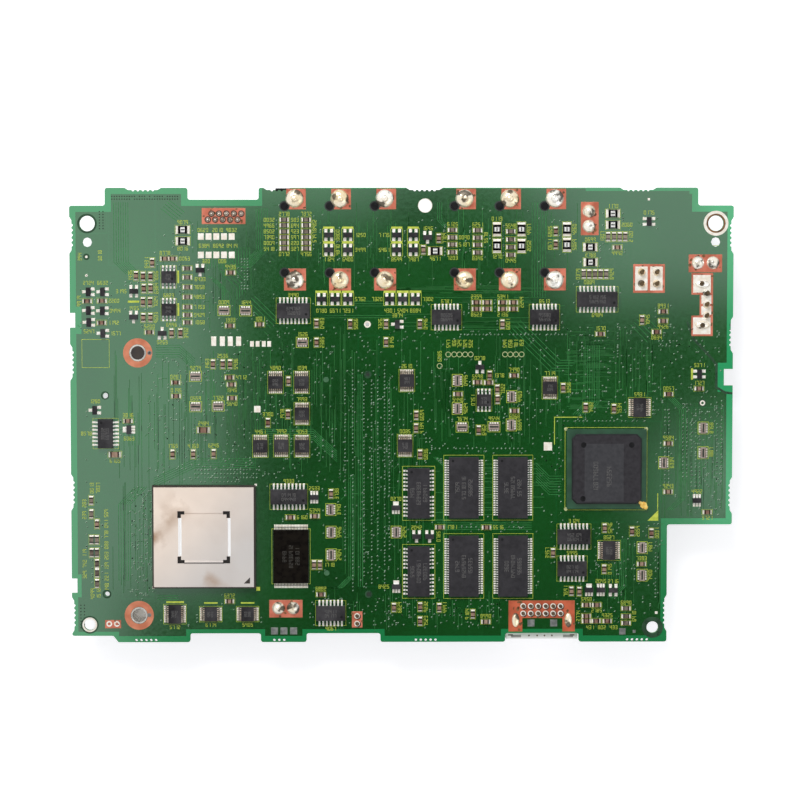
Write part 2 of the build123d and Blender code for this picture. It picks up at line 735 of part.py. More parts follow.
with BuildPart() as transistor_bodies:
    with BuildSketch(Plane.XY.offset(board_top + chip_stand_off)):
        with Locations(*(dual_spots + single_spots + tabbed_spots + six_way_spots)):
            Rectangle(transistor_length, transistor_width)
    extrude(amount=transistor_height, taper=mould_draft)
transistor_bodies.part.label = "transistor_bodies"
export_step(transistor_bodies.part, "parts/transistor_bodies.step")

pair_offsets = row(2, transistor_pitch)
trio_offsets = row(3, six_way_pitch)
lead_spots = lead_places(dual_spots, transistor_width, pair_offsets, pair_offsets)
lead_spots += lead_places(single_spots, transistor_width, [0], pair_offsets)
slim_lead_spots = lead_places(six_way_spots, transistor_width, trio_offsets, trio_offsets)
slim_lead_spots += lead_places(tabbed_spots, transistor_width, [], trio_offsets)
with BuildPart() as transistor_leads:
    with Locations(*lead_spots):
        add(wedge_lead(transistor_lead, transistor_reach, transistor_height / 2))
    with Locations(*slim_lead_spots):
        add(wedge_lead(small_outline_lead, transistor_reach, transistor_height / 2))
    with Locations(*lead_places(tabbed_spots, transistor_width, [0], [])):
        add(wedge_lead(tab_width, transistor_reach, transistor_height / 2))
transistor_leads.part.label = "transistor_leads"
export_step(transistor_leads.part, "parts/transistor_leads.step")


# Chip parts

capacitor_spots = places(flat_capacitors) + places(upright_capacitors, 90)
with BuildPart() as chip_capacitors:
    with BuildSketch(Plane.XY.offset(board_top)):
        with Locations(*capacitor_spots):
            Rectangle(chip_length, chip_width)
    extrude(amount=chip_capacitor_height)
chip_capacitors.part.label = "chip_capacitors"
export_step(chip_capacitors.part, "parts/chip_capacitors.step")

resistor_spots = places(flat_resistors) + places(upright_resistors, 90)
with BuildPart() as chip_resistors:
    with BuildSketch(Plane.XY.offset(board_top)):
        with Locations(*resistor_spots):
            Rectangle(chip_length, chip_width)
    extrude(amount=chip_resistor_height)
chip_resistors.part.label = "chip_resistors"
export_step(chip_resistors.part, "parts/chip_resistors.step")

with BuildPart() as power_capacitors:
    with BuildSketch(Plane.XY.offset(board_top)):
        with Locations(*places(large_capacitors)):
            Rectangle(power_capacitor_length, power_capacitor_width)
    extrude(amount=power_capacitor_height)
power_capacitors.part.label = "power_capacitors"
export_step(power_capacitors.part, "parts/power_capacitors.step")

power_resistor_spots = places(flat_wide_chips) + places(upright_wide_chips, 90)
with BuildPart() as power_resistors:
    with BuildSketch(Plane.XY.offset(board_top)):
        with Locations(*power_resistor_spots):
            Rectangle(power_resistor_length, power_resistor_width)
    extrude(amount=power_resistor_height)
power_resistors.part.label = "power_resistors"
export_step(power_resistors.part, "parts/power_resistors.step")

network_spots = places(flat_arrays) + places(upright_arrays, 90)
with BuildPart() as resistor_networks:
    with BuildSketch(Plane.XY.offset(board_top)):
        with Locations(*network_spots):
            Rectangle(network_length, network_width)
    extrude(amount=network_height)
resistor_networks.part.label = "resistor_networks"
export_step(resistor_networks.part, "parts/resistor_networks.step")


# Fuse blocks, underneath

fuse_spots = [Location((x, fuse_row_middle, 0)) for x in fuse_block_x]
fuse_floor_z = board_bottom - fuse_block_floor
fuse_axis_z = fuse_floor_z - fuse_gap_to_floor - fuse_radius
clip_base_z = fuse_floor_z - fuse_clip_thickness
tail_top_z = board_top + heavy_joint_height

# One clip: a base on the floor, two sprung arms that grip the fuse cap, and a tail up through the board
arm_inside = fuse_radius + fuse_clip_play
arm_outside = arm_inside + fuse_clip_thickness
knee_z = fuse_axis_z - fuse_clip_knee
arm_tip_z = fuse_axis_z - fuse_radius
with BuildPart() as clip_shape:
    with BuildSketch(Plane.XZ) as clip_profile:
        for side in (1, -1):
            with BuildLine():
                Polyline(
                    (0, fuse_floor_z),
                    (side * arm_outside, fuse_floor_z),
                    (side * arm_outside, knee_z - fuse_clip_knee_thickness),
                    (side * (fuse_clip_mouth + fuse_clip_thickness), arm_tip_z),
                    (side * fuse_clip_mouth, arm_tip_z),
                    (side * arm_inside, knee_z),
                    (side * arm_inside, clip_base_z),
                    (0, clip_base_z),
                    close=True,
                )
            make_face()
    extrude(amount=fuse_clip_width / 2, both=True)
    with BuildSketch(Plane.XY.offset(clip_base_z)):
        Rectangle(fuse_tail_width, fuse_clip_thickness)
    extrude(amount=tail_top_z - clip_base_z)
clip_offsets = [Location((0, side * fuse_pin_spacing / 2, 0)) for side in (1, -1)]
clip_spots = [spot * offset for spot in fuse_spots for offset in clip_offsets]
with BuildPart() as fuse_clips:
    with Locations(*clip_spots):
        add(clip_shape.part)
fuse_clips.part.label = "fuse_clips"
export_step(fuse_clips.part, "parts/fuse_clips.step")

# One moulded base: floor against the board, two end walls down to the rest plane, two pegs
with BuildPart() as base_shape:
    with BuildSketch(Plane.XY.offset(fuse_floor_z)):
        Rectangle(fuse_block_width, fuse_block_length)
        with Locations(*clip_offsets):
            Rectangle(fuse_tail_width, fuse_clip_thickness, mode=Mode.SUBTRACT)
    extrude(amount=fuse_block_floor)
    with BuildSketch():
        with GridLocations(1, fuse_block_length - fuse_block_end, 1, 2):
            Rectangle(fuse_block_width, fuse_block_end)
    extrude(amount=fuse_floor_z)
    with BuildSketch(Plane.XY.offset(board_bottom)):
        with Locations((-fuse_peg_offset, 0)):
            with GridLocations(1, fuse_peg_spacing, 1, 2):
                RegularPolygon(fuse_peg_radius, small_round_sides)
    extrude(amount=board_thickness + fuse_peg_stand_out)
with BuildPart() as left_fuse_bases:
    with Locations(*fuse_spots[:3]):
        add(base_shape.part)
left_fuse_bases.part.label = "left_fuse_bases"
export_step(left_fuse_bases.part, "parts/left_fuse_bases.step")

with BuildPart() as right_fuse_bases:
    with Locations(*fuse_spots[3:]):
        add(base_shape.part)
right_fuse_bases.part.label = "right_fuse_bases"
export_step(right_fuse_bases.part, "parts/right_fuse_bases.step")

# Fuses: a glass tube between two pressed caps
tube_length = fuse_length - 2 * fuse_cap_length
fuse_spot_points = [(x, fuse_axis_z) for x in fuse_block_x]
tube_end_y = fuse_row_middle + tube_length / 2
with BuildPart() as fuse_tubes:
    with BuildSketch(Plane.XZ.offset(-tube_end_y)):
        with Locations(*fuse_spot_points):
            RegularPolygon(fuse_radius - fuse_cap_wall, fuse_sides)
    extrude(amount=tube_length)
fuse_tubes.part.label = "fuse_tubes"
export_step(fuse_tubes.part, "parts/fuse_tubes.step")

with BuildPart() as fuse_caps:
    for cap_start in (tube_end_y + fuse_cap_length, tube_end_y - tube_length):
        with BuildSketch(Plane.XZ.offset(-cap_start)):
            with Locations(*fuse_spot_points):
                RegularPolygon(fuse_radius, fuse_sides)
        extrude(amount=fuse_cap_length)
fuse_caps.part.label = "fuse_caps"
export_step(fuse_caps.part, "parts/fuse_caps.step")


# Can capacitors, underneath

supply_can_y = supply_middle_y + supply_width / 2 + supply_can_clearance + can_radius
can_spots = [place(63.15, 66.55, 90), Location((supply_can_x, supply_can_y, 0)), place(-39.45, -65.4)]
with BuildPart() as can_shape:
    with BuildSketch(Plane.XZ):
        with BuildLine():
            Polyline(
                (0, 0),
                (can_radius - can_edge, 0),
                (can_radius, can_edge),
                (can_radius, board_bottom - can_groove_height),
                (can_radius - can_groove_depth, board_bottom - can_groove_height + can_groove_width),
                (can_radius - can_groove_depth, board_bottom),
                (0, board_bottom),
                close=True,
            )
        make_face()
    revolve()
with BuildPart() as can_capacitors:
    with Locations(*can_spots):
        add(can_shape.part)
can_capacitors.part.label = "can_capacitors"
export_step(can_capacitors.part, "parts/can_capacitors.step")


# Ground standoffs

with BuildPart() as ground_standoffs:
    with BuildSketch():
        with Locations(*places(standoff_places)):
            RegularPolygon(standoff_across_flats / 2, 6, major_radius=False)
    extrude(amount=board_bottom)
    with BuildSketch(Plane.XY.offset(board_bottom)):
        with Locations(*places(standoff_places)):
            Circle(standoff_shank_radius)
    extrude(amount=board_thickness)
    with BuildSketch(Plane.XY.offset(board_top)):
        with Locations(*places(standoff_places)):
            Circle(standoff_bore_radius)
    extrude(amount=-standoff_blind_depth, mode=Mode.SUBTRACT)
ground_standoffs.part.label = "ground_standoffs"
export_step(ground_standoffs.part, "parts/ground_standoffs.step")


# Zigzag header, underneath

zigzag_bottom = board_bottom - zigzag_body_height
zigzag_length = (zigzag_count - 0.5) * zigzag_pitch + 2 * zigzag_shell_end
zigzag_points = [
    (zigzag_middle[0] + x - side * zigzag_pitch / 4, zigzag_middle[1] + side * zigzag_row_gap / 2)
    for side in (-1, 1) for x in row(zigzag_count, zigzag_pitch)
]
zigzag_points = [(2 * zigzag_middle[0] - x, y) for x, y in zigzag_points]
with BuildPart() as zigzag_header_shell:
    with BuildSketch(Plane.XY.offset(zigzag_bottom)):
        with Locations(zigzag_middle):
            Rectangle(zigzag_length, zigzag_shell_width)
            offset(amount=-zigzag_wall, mode=Mode.SUBTRACT)
    extrude(amount=zigzag_body_height)
    with BuildSketch(Plane.XY.offset(board_bottom)):
        with Locations(zigzag_middle):
            Rectangle(zigzag_length, zigzag_shell_width)
    extrude(amount=-zigzag_floor)
    with BuildSketch(Plane.XY.offset(zigzag_bottom)):
        with Locations((zigzag_middle[0], zigzag_middle[1] - (zigzag_shell_width - zigzag_wall) / 2)):
            Rectangle(zigzag_key_width, zigzag_wall)
    extrude(amount=zigzag_key_depth, mode=Mode.SUBTRACT)
zigzag_header_shell.part.label = "zigzag_header_shell"
export_step(zigzag_header_shell.part, "parts/zigzag_header_shell.step")

with BuildPart() as zigzag_header_pins:
    with BuildSketch(Plane.XY.offset(zigzag_bottom + zigzag_pin_recess)):
        with Locations(*zigzag_points):
            Rectangle(square_pin, square_pin)
    extrude(amount=zigzag_body_height - zigzag_floor - zigzag_pin_recess)
zigzag_header_pins.part.label = "zigzag_header_pins"
export_step(zigzag_header_pins.part, "parts/zigzag_header_pins.step")


# Two-pin header, underneath

pair_points = [
    (pair_header_middle[0], pair_header_middle[1] + side * pair_header_pitch / 2) for side in (-1, 1)
]
with BuildPart() as pair_header_body:
    with BuildSketch(Plane.XY.offset(board_bottom)):
        with Locations(pair_header_middle):
            Rectangle(pair_header_pitch, 2 * pair_header_pitch)
    extrude(amount=-pair_header_pitch)
pair_header_body.part.label = "pair_header_body"
export_step(pair_header_body.part, "parts/pair_header_body.step")

with BuildPart() as pair_header_pins:
    with BuildSketch(Plane.XY.offset(board_bottom - pair_header_pitch)):
        with Locations(*pair_points):
            Rectangle(square_pin, square_pin)
    extrude(amount=-pair_header_height)
pair_header_pins.part.label = "pair_header_pins"
export_step(pair_header_pins.part, "parts/pair_header_pins.step")


# Four-way power socket, underneath

power_floor_z = board_bottom - power_socket_floor
power_mouth_z = power_socket_clearance
power_latch_y = power_socket_middle[1] + power_socket_width / 2 + power_socket_wall
power_points = [
    (power_socket_middle[0] + x, power_socket_middle[1] + y)
    for x in row(2, power_socket_pitch_x) for y in row(2, power_socket_pitch_y)
]
with BuildPart() as power_socket_shell:
    with BuildSketch(Plane.XY.offset(power_mouth_z)):
        with Locations(power_socket_middle):
            Rectangle(power_socket_length, power_socket_width)
            Rectangle(
                power_socket_length - 2 * power_socket_wall,
                power_socket_width - 2 * power_socket_wall,
                mode=Mode.SUBTRACT,
            )
    extrude(amount=board_bottom - power_mouth_z)
    with BuildSketch(Plane.XY.offset(power_floor_z)):
        with Locations(power_socket_middle):
            Rectangle(power_socket_length, power_socket_width)
    extrude(amount=power_socket_floor)
    with BuildSketch(Plane.XY.offset(power_mouth_z)):
        with Locations((power_socket_middle[0], power_latch_y)):
            Rectangle(power_socket_pitch_x, 2 * power_socket_wall)
    extrude(amount=power_socket_floor)
power_socket_shell.part.label = "power_socket_shell"
export_step(power_socket_shell.part, "parts/power_socket_shell.step")

with BuildPart() as power_socket_pins:
    with BuildSketch(Plane.XY.offset(power_floor_z)):
        with Locations(*power_points):
            Rectangle(power_pin_size, power_pin_size)
    extrude(amount=-power_pin_height)
power_socket_pins.part.label = "power_socket_pins"
export_step(power_socket_pins.part, "parts/power_socket_pins.step")


# Three-way supply connector

supply_mouth_x = right_edge - supply_setback
supply_cavity_back = supply_mouth_x - supply_cavity_depth
supply_middle_z = board_bottom - supply_height / 2
supply_pin_y = [supply_middle_y + offset for offset in row(3, supply_pin_pitch)]
with BuildPart() as supply_connector_housing:
    with BuildSketch(Plane.YZ.offset(supply_back_x)):
        with Locations((supply_middle_y, supply_middle_z)):
            Rectangle(supply_width, supply_height)
    extrude(amount=supply_mouth_x - supply_back_x)
    with BuildSketch(Plane.YZ.offset(supply_cavity_back)):
        with Locations((supply_middle_y, supply_middle_z)):
            Rectangle(supply_cavity_width, supply_height - 2 * supply_wall)
        with Locations((supply_middle_y, board_bottom - supply_height)):
            Rectangle(supply_pin_pitch, 2 * supply_wall)
    extrude(amount=supply_cavity_depth, mode=Mode.SUBTRACT)
supply_connector_housing.part.label = "supply_connector_housing"
export_step(supply_connector_housing.part, "parts/supply_connector_housing.step")

with BuildPart() as supply_connector_pins:
    with BuildSketch(Plane.YZ.offset(supply_cavity_back)):
        with Locations(*[(y, supply_middle_z) for y in supply_pin_y]):
            Rectangle(*supply_blade_size)
    extrude(amount=supply_blade_length)
supply_connector_pins.part.label = "supply_connector_pins"
export_step(supply_connector_pins.part, "parts/supply_connector_pins.step")


# Twelve-way signal connector

signal_mouth_y = bottom_edge + signal_setback
signal_cavity_back = signal_mouth_y + signal_cavity_depth
signal_middle_z = board_bottom - signal_height / 2
with BuildPart() as signal_connector_housing:
    with BuildSketch(Plane.XZ.offset(-signal_back_y)):
        with Locations((signal_middle_x, signal_middle_z)):
            Rectangle(signal_length, signal_height)
    extrude(amount=signal_back_y - signal_mouth_y)
    with BuildSketch(Plane.XZ.offset(-signal_mouth_y)):
        with Locations((signal_middle_x, signal_middle_z)):
            Rectangle(signal_length - 2 * signal_wall, signal_height - 2 * signal_wall)
            Rectangle(signal_tongue_length, signal_tongue_height, mode=Mode.SUBTRACT)
    extrude(amount=-signal_cavity_depth, mode=Mode.SUBTRACT)
signal_connector_housing.part.label = "signal_connector_housing"
export_step(signal_connector_housing.part, "parts/signal_connector_housing.step")

with BuildPart() as signal_connector_contacts:
    contact_z = (signal_tongue_height + signal_contact_thickness) / 2
    with BuildSketch(Plane.XZ.offset(-signal_cavity_back)):
        with Locations((signal_middle_x, signal_middle_z)):
            with GridLocations(signal_pitch, 2 * contact_z, signal_columns, 2):
                Rectangle(signal_contact_width, signal_contact_thickness)
    extrude(amount=signal_contact_length)
signal_connector_contacts.part.label = "signal_connector_contacts"
export_step(signal_connector_contacts.part, "parts/signal_connector_contacts.step")


# Solder joints on the top face

with BuildPart() as heavy_joint_shape:
    with BuildSketch(Plane.XY.offset(board_top)):
        RegularPolygon(heavy_joint_radius, small_round_sides)
        Rectangle(fuse_tail_width, fuse_clip_thickness, mode=Mode.SUBTRACT)
    extrude(amount=heavy_joint_height, taper=heavy_joint_slope)
with BuildPart() as heavy_solder_joints:
    with Locations(*[Location((x, y, 0)) for x, y in heavy_joints]):
        add(heavy_joint_shape.part)
heavy_solder_joints.part.label = "heavy_solder_joints"
export_step(heavy_solder_joints.part, "parts/heavy_solder_joints.step")

can_lead_points = []
for can_spot in can_spots:
    leads = [can_spot * Location((side * can_lead_spacing / 2, 0, 0)) for side in (-1, 1)]
    can_lead_points += [(lead.position.X, lead.position.Y) for lead in leads]
with BuildPart() as can_solder_joints:
    with BuildSketch(Plane.XY.offset(board_top)):
        with Locations(*can_lead_points):
            RegularPolygon(can_joint_radius, small_round_sides)
    extrude(amount=can_joint_height, taper=can_joint_slope)
can_solder_joints.part.label = "can_solder_joints"
export_step(can_solder_joints.part, "parts/can_solder_joints.step")

supply_joint_points = [(supply_pin_x, y) for y in supply_pin_y]
signal_joint_points = [
    (signal_middle_x + x, y) for x in row(signal_columns, signal_pitch) for y in signal_rows
]
with BuildPart() as header_solder_joints:
    with BuildSketch(Plane.XY.offset(board_top)):
        with Locations(*(zigzag_points + pair_points + signal_joint_points)):
            RegularPolygon(pin_joint_radius, pin_joint_sides)
    extrude(amount=pin_joint_height, taper=pin_joint_slope)
header_solder_joints.part.label = "header_solder_joints"
export_step(header_solder_joints.part, "parts/header_solder_joints.step")

with BuildPart() as supply_solder_joints:
    with BuildSketch(Plane.XY.offset(board_top)):
        with Locations(*(supply_joint_points + power_points)):
            RegularPolygon(power_joint_radius, small_round_sides)
    extrude(amount=power_joint_height, taper=power_joint_slope)
supply_solder_joints.part.label = "supply_solder_joints"
export_step(supply_solder_joints.part, "parts/supply_solder_joints.step")

tab_spots = []
for side in (-1, 1):
    tab_spots.append(Location((supply_tab_x, supply_middle_y + side * supply_tab_offset, 0)))
    tab_spots.append(Location((signal_middle_x + side * signal_tab_offset, signal_tab_y, 0), (0, 0, 90)))
with BuildPart() as tab_solder_joints:
    with BuildSketch(Plane.XY.offset(board_top)):
        with Locations(*tab_spots):
            Rectangle(tab_joint_length, tab_joint_width)
    extrude(amount=tab_joint_height, taper=tab_joint_slope)
tab_solder_joints.part.label = "tab_solder_joints"
export_step(tab_solder_joints.part, "parts/tab_solder_joints.step")
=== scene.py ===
import bpy
import math
import random
from mathutils import Matrix, Vector, noise


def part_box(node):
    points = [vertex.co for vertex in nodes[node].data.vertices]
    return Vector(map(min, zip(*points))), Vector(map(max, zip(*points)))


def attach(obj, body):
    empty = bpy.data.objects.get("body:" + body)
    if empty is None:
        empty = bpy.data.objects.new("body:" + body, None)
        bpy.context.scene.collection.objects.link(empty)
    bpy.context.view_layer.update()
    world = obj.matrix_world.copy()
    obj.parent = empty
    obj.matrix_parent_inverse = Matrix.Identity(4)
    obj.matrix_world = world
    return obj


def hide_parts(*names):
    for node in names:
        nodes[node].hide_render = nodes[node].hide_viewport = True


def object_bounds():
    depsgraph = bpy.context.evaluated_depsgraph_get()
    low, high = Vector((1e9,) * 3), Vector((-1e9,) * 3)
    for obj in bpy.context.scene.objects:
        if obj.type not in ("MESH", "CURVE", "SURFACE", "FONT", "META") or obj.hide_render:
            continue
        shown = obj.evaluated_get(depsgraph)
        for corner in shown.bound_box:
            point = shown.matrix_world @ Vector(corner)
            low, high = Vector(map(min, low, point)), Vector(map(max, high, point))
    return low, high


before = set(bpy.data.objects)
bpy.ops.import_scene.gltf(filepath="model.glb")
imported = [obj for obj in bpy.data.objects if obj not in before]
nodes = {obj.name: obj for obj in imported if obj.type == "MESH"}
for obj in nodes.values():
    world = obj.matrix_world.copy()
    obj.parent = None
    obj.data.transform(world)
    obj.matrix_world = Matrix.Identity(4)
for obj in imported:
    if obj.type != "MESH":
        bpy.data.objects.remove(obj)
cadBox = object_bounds()
random.seed(7)
noise.seed_set(7)

# Camera: almost straight above the board, leaning a little towards the lower edge
view = {"place": (-0.0063, 0.0565, 0.9142), "turn": (-3.259, -0.365, -0.028), "lens": 119.6}
cameraData = bpy.data.cameras.new("camera")
cameraData.lens = view["lens"]
camera = bpy.data.objects.new("camera", cameraData)
camera.location = view["place"]
camera.rotation_euler = [math.radians(angle) for angle in view["turn"]]
bpy.context.collection.objects.link(camera)
bpy.context.scene.camera = camera
bpy.context.scene.view_settings.view_transform = "Standard"
print("camera ready")

boardLow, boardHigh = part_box("pcb")
boardTop = boardHigh[2]
boardBottom = boardLow[2]


# Shader maths: a value in a node tree that can be added, multiplied and compared
class Value:
    def __init__(self, graph, socket):
        self.graph = graph
        self.socket = socket

    def maths(self, operation, first, second=0.0):
        return self.graph.node("ShaderNodeMath", {"operation": operation}, {0: first, 1: second})

    def __add__(self, other):
        return self.maths("ADD", self, other)

    def __sub__(self, other):
        return self.maths("SUBTRACT", self, other)

    def __rsub__(self, other):
        return self.maths("SUBTRACT", other, self)

    def __mul__(self, other):
        return self.maths("MULTIPLY", self, other)

    def __truediv__(self, other):
        return self.maths("DIVIDE", self, other)

    def __gt__(self, other):
        return self.maths("GREATER_THAN", self, other)

    def __lt__(self, other):
        return self.maths("LESS_THAN", self, other)

    def __abs__(self):
        return self.maths("ABSOLUTE", self)

    def ramp(self, low, high):
        # 0 below the low end and 1 above the high end, with a soft step between them
        ends = {"Value": self, "From Min": low, "From Max": high}
        return self.graph.node("ShaderNodeMapRange", {"interpolation_type": "SMOOTHSTEP"}, ends)

    __radd__ = __add__
    __rmul__ = __mul__


class Graph:
    def __init__(self, tree):
        self.tree = tree

    def feed(self, socket, value):
        if isinstance(value, Value):
            self.tree.links.new(value.socket, socket)
        else:
            socket.default_value = value

    def node(self, kind, settings=None, inputs=None, output=0):
        made = self.tree.nodes.new(kind)
        for key, setting in (settings or {}).items():
            if key == "stops":
                for stop, (position, level) in zip(made.color_ramp.elements, setting):
                    stop.position = position
                    stop.color = (level, level, level, 1)
            else:
                setattr(made, key, setting)
        for key, value in (inputs or {}).items():
            self.feed(made.inputs[key], value)
        return Value(self, made.outputs[output])

    def split(self, vector):
        outputs = self.node("ShaderNodeSeparateXYZ", None, {0: vector}).socket.node.outputs
        return [Value(self, outputs[axis]) for axis in ("X", "Y", "Z")]

    def mix(self, mask, first, second):
        return self.node("ShaderNodeMix", {"data_type": "RGBA"}, {0: mask, 6: first, 7: second}, output=2)


class Paint(Graph):
    def __init__(self, name, roughness=0.5, metallic=0.0):
        self.material = bpy.data.materials.new(name)
        self.material.use_nodes = True
        super().__init__(self.material.node_tree)
        self.shader = self.tree.nodes["Principled BSDF"]
        self.shader.inputs["Roughness"].default_value = roughness
        self.shader.inputs["Metallic"].default_value = metallic
        self.place = self.node("ShaderNodeTexCoord", output="Object")

    def noise(self, scale, detail=3.0, low=0.35, high=0.65):
        settings = {"Vector": self.place, "Scale": scale, "Detail": detail}
        grain = self.node("ShaderNodeTexNoise", None, settings)
        return self.node("ShaderNodeValToRGB", {"stops": ((low, 0), (high, 1))}, {"Fac": grain})

    def facing(self):
        return self.split(self.node("ShaderNodeNewGeometry", output="Normal"))[2]

    def colour(self, value):
        self.feed(self.shader.inputs["Base Color"], value)

    def rough(self, value):
        self.feed(self.shader.inputs["Roughness"], value)

    def bump(self, height, distance, strength=1.0):
        settings = {"Height": height, "Distance": distance, "Strength": strength}
        self.feed(self.shader.inputs["Normal"], self.node("ShaderNodeBump", None, settings))

    def set(self, socket, value):
        self.shader.inputs[socket].default_value = value


def tone(red, green, blue):
    return (red, green, blue, 1)


def within(x, y, box, grow=0.0):
    # 1 inside a box on the board given in millimetres, grown on every side
    left, low, right, high = box
    nearX = abs(x - (left + right) / 2000) < (right - left) / 2000 + grow / 1000
    nearY = abs(y - (low + high) / 2000) < (high - low) / 2000 + grow / 1000
    return nearX * nearY


def speckled(
    name, dark, light, scale, roughness, metallic=0.0, bump=0.0, coat=0.0, sheen=0.5, vary=0.0, drift=0.0
):
    # a plain finish whose colour and gloss wander a little: vary from one loose part to the next,
    # and drift over the board
    paint = Paint(name, roughness, metallic)
    grain = paint.noise(scale)
    piece = paint.node("ShaderNodeNewGeometry", output="Random Per Island")
    shade = grain * (1 - vary - drift) + piece * vary
    if drift:
        shade = shade + paint.noise(110, 1, 0.35, 0.65) * drift
    paint.colour(paint.mix(shade, tone(*dark), tone(*light)))
    paint.rough(grain * 0.12 + (roughness - 0.06))
    paint.set("Specular IOR Level", sheen)
    if coat:
        paint.set("Coat Weight", coat)
        paint.set("Coat Roughness", 0.1)
    if bump:
        paint.bump(paint.noise(scale * 2.5), bump, 0.6)
    return paint.material


# Solder mask: dark where copper lies under it, bright along the routed outline, laminate on the edges;
# along the right edge the bright band is painted lighter as painted light
maskLook = {
    "deep": (0.003, 0.053, 0.004), "field": (0.005, 0.08, 0.0075), "bare": (0.012, 0.255, 0.075),
    "bareRightPaintedLight": (0.02, 0.4, 0.14), "poured": ((-47, 60, 62, 76.7), (62, 60, 97, 75.9)),
    "core": (0.16, 0.36, 0.16), "sheen": (0.66, 1.0, 0.8), "rim": 2.1, "lowerRim": 1.4, "seam": 0.25,
}
outlineCuts = (
    (-120, 71, -100, 80), (100, 71, 120, 80), (-72.2, 73, -48.2, 80), (90, -80, 120, -37),
    (-120, -80, -97.5, -74.8), (-71.9, -80, -47.9, -74), (-32.4, -80, -7.3, -74), (35.1, -80, 60.1, -74),
    (-120, 29.9, -110.2, 34.9), (-120, -60.2, -110.1, -55.2), (109, 10.2, 120, 15.8),
)
pourSeams = (
    (-98.6, 51, -83.2, 73.4), (-110.2, 61.8, -99.6, 69.2), (-94.8, -62, -84.6, -49.5),
    (52.5, -36, 87.5, -2), (-14.6, -58, -8.0, 27), (96.2, -21.5, 108.8, 2.6),
)


def makeSolderMask():
    paint = Paint("solderMask", 0.14)
    x, y, z = paint.split(paint.place)
    cloud = paint.noise(30, 4)
    weave = paint.noise(900, 2)
    # painted light: the bare band turns lighter towards the right edge
    right = x.ramp(0.096, 0.108)
    rim = maskLook["rim"]
    copper = within(x, y, (-112, -77, 112, 77), -rim)
    for cut in outlineCuts:
        copper = copper * (1 - within(x, y, cut, maskLook["lowerRim"] if cut[3] < -50 else rim))
    for area in maskLook["poured"]:
        copper = 1 - (1 - copper) * (1 - within(x, y, area))
    for seam in pourSeams:
        line = within(x, y, seam, maskLook["seam"]) * (1 - within(x, y, seam))
        copper = copper * (1 - line * 0.16)
    green = paint.mix(cloud, tone(*maskLook["deep"]), tone(*maskLook["field"]))
    green = paint.mix(weave * 0.06, green, tone(*maskLook["bare"]))
    bare = paint.mix(right, tone(*maskLook["bare"]), tone(*maskLook["bareRightPaintedLight"]))
    green = paint.mix(copper, bare, green)
    side = paint.facing()
    edge = (side < 0.5) * (side > -0.5)
    paint.colour(paint.mix(edge, green, tone(*maskLook["core"])))
    paint.rough(weave * 0.02 + edge * 0.5 + (side < -0.5) * 0.16 + 0.07)
    paint.bump(paint.noise(1500, 2), 0.000001, 0.3)
    paint.set("IOR", 1.85)
    paint.set("Specular IOR Level", 1.0)
    paint.set("Specular Tint", tone(*maskLook["sheen"]))
    return paint.material


def makeLidMetal():
    # rolled metal with streaks of old flux; painted shade greys it towards one corner, darkens a strip
    # under the stamped panel and the slot floors, and two painted highlights run along the panel's sides
    look = {
        "light": (1.0, 0.85, 0.73), "dull": (0.86, 0.73, 0.63), "grey": (0.6, 0.585, 0.58),
        "stain": (0.4, 0.25, 0.15), "dark": (0.01, 0.008, 0.007), "bright": (1.0, 1.0, 1.0),
        "shine": ((-75.6, -47.2, -74.5, -34.4), (-58.9, -47.2, -57.9, -34.4)),
        "shade": (-73.6, -49.9, -60.2, -49.4),
    }
    paint = Paint("lidMetal", 0.42, 0.3)
    x, y, z = paint.split(paint.place)
    cloud = paint.noise(60, 5, 0.3, 0.75)
    patch = paint.noise(80, 5, 0.5, 0.66)
    upper = 1 - abs(x - y + 0.0455).ramp(0.001, 0.009)
    lower = 1 - abs(x * 0.8 + y + 0.108).ramp(0.001, 0.005)
    lidWearAndShade = paint.mix(cloud, tone(*look["dull"]), tone(*look["light"]))
    # painted shade: greyer towards the lower right corner
    lidWearAndShade = paint.mix((x - y + 0.0255).ramp(-0.024, 0.022) * 0.85, lidWearAndShade, tone(*look["grey"]))
    lidWearAndShade = paint.mix(patch * (upper * 0.55 + lower * 0.55 + 0.08), lidWearAndShade, tone(*look["stain"]))
    # painted highlights: two bright strips along the sides of the stamped panel
    for box in look["shine"]:
        lidWearAndShade = paint.mix(within(x, y, box), lidWearAndShade, tone(*look["bright"]))
    # painted shade: a dark strip along the panel's lower edge
    lidWearAndShade = paint.mix(within(x, y, look["shade"]) * 0.7, lidWearAndShade, tone(*look["dark"]))
    # painted shade: the floors of the slots are painted near black
    slot = (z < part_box("controller_lid")[1][2] - 0.0006) * (paint.facing() > 0.9)
    paint.colour(paint.mix(slot, lidWearAndShade, tone(*look["dark"])))
    paint.rough(cloud * 0.12 + 0.34)
    paint.bump(paint.noise(500, 4), 0.00002, 0.3)
    return paint.material


def makeDomeSolder():
    # bright solder with dark streaks painted on as reflections
    look = {"dark": (0.05, 0.035, 0.02), "warm": (0.86, 0.7, 0.42), "bright": (1.0, 0.98, 0.92)}
    paint = Paint("domeSolder", 0.3, 0.6)
    paintedReflection = paint.noise(300, 3, 0.53, 0.6)
    warm = paint.noise(200, 2, 0.4, 0.65) * 0.5 + paint.noise(28, 0, 0.42, 0.56) * 0.5
    metal = paint.mix(warm, tone(*look["bright"]), tone(*look["warm"]))
    # painted reflection: dark streaks mixed into the solder's colour
    paint.colour(paint.mix(paintedReflection * 0.9, metal, tone(*look["dark"])))
    paint.rough(paintedReflection * 0.25 + 0.18)
    paint.bump(paint.noise(500, 2), 0.0001, 0.7)
    return paint.material


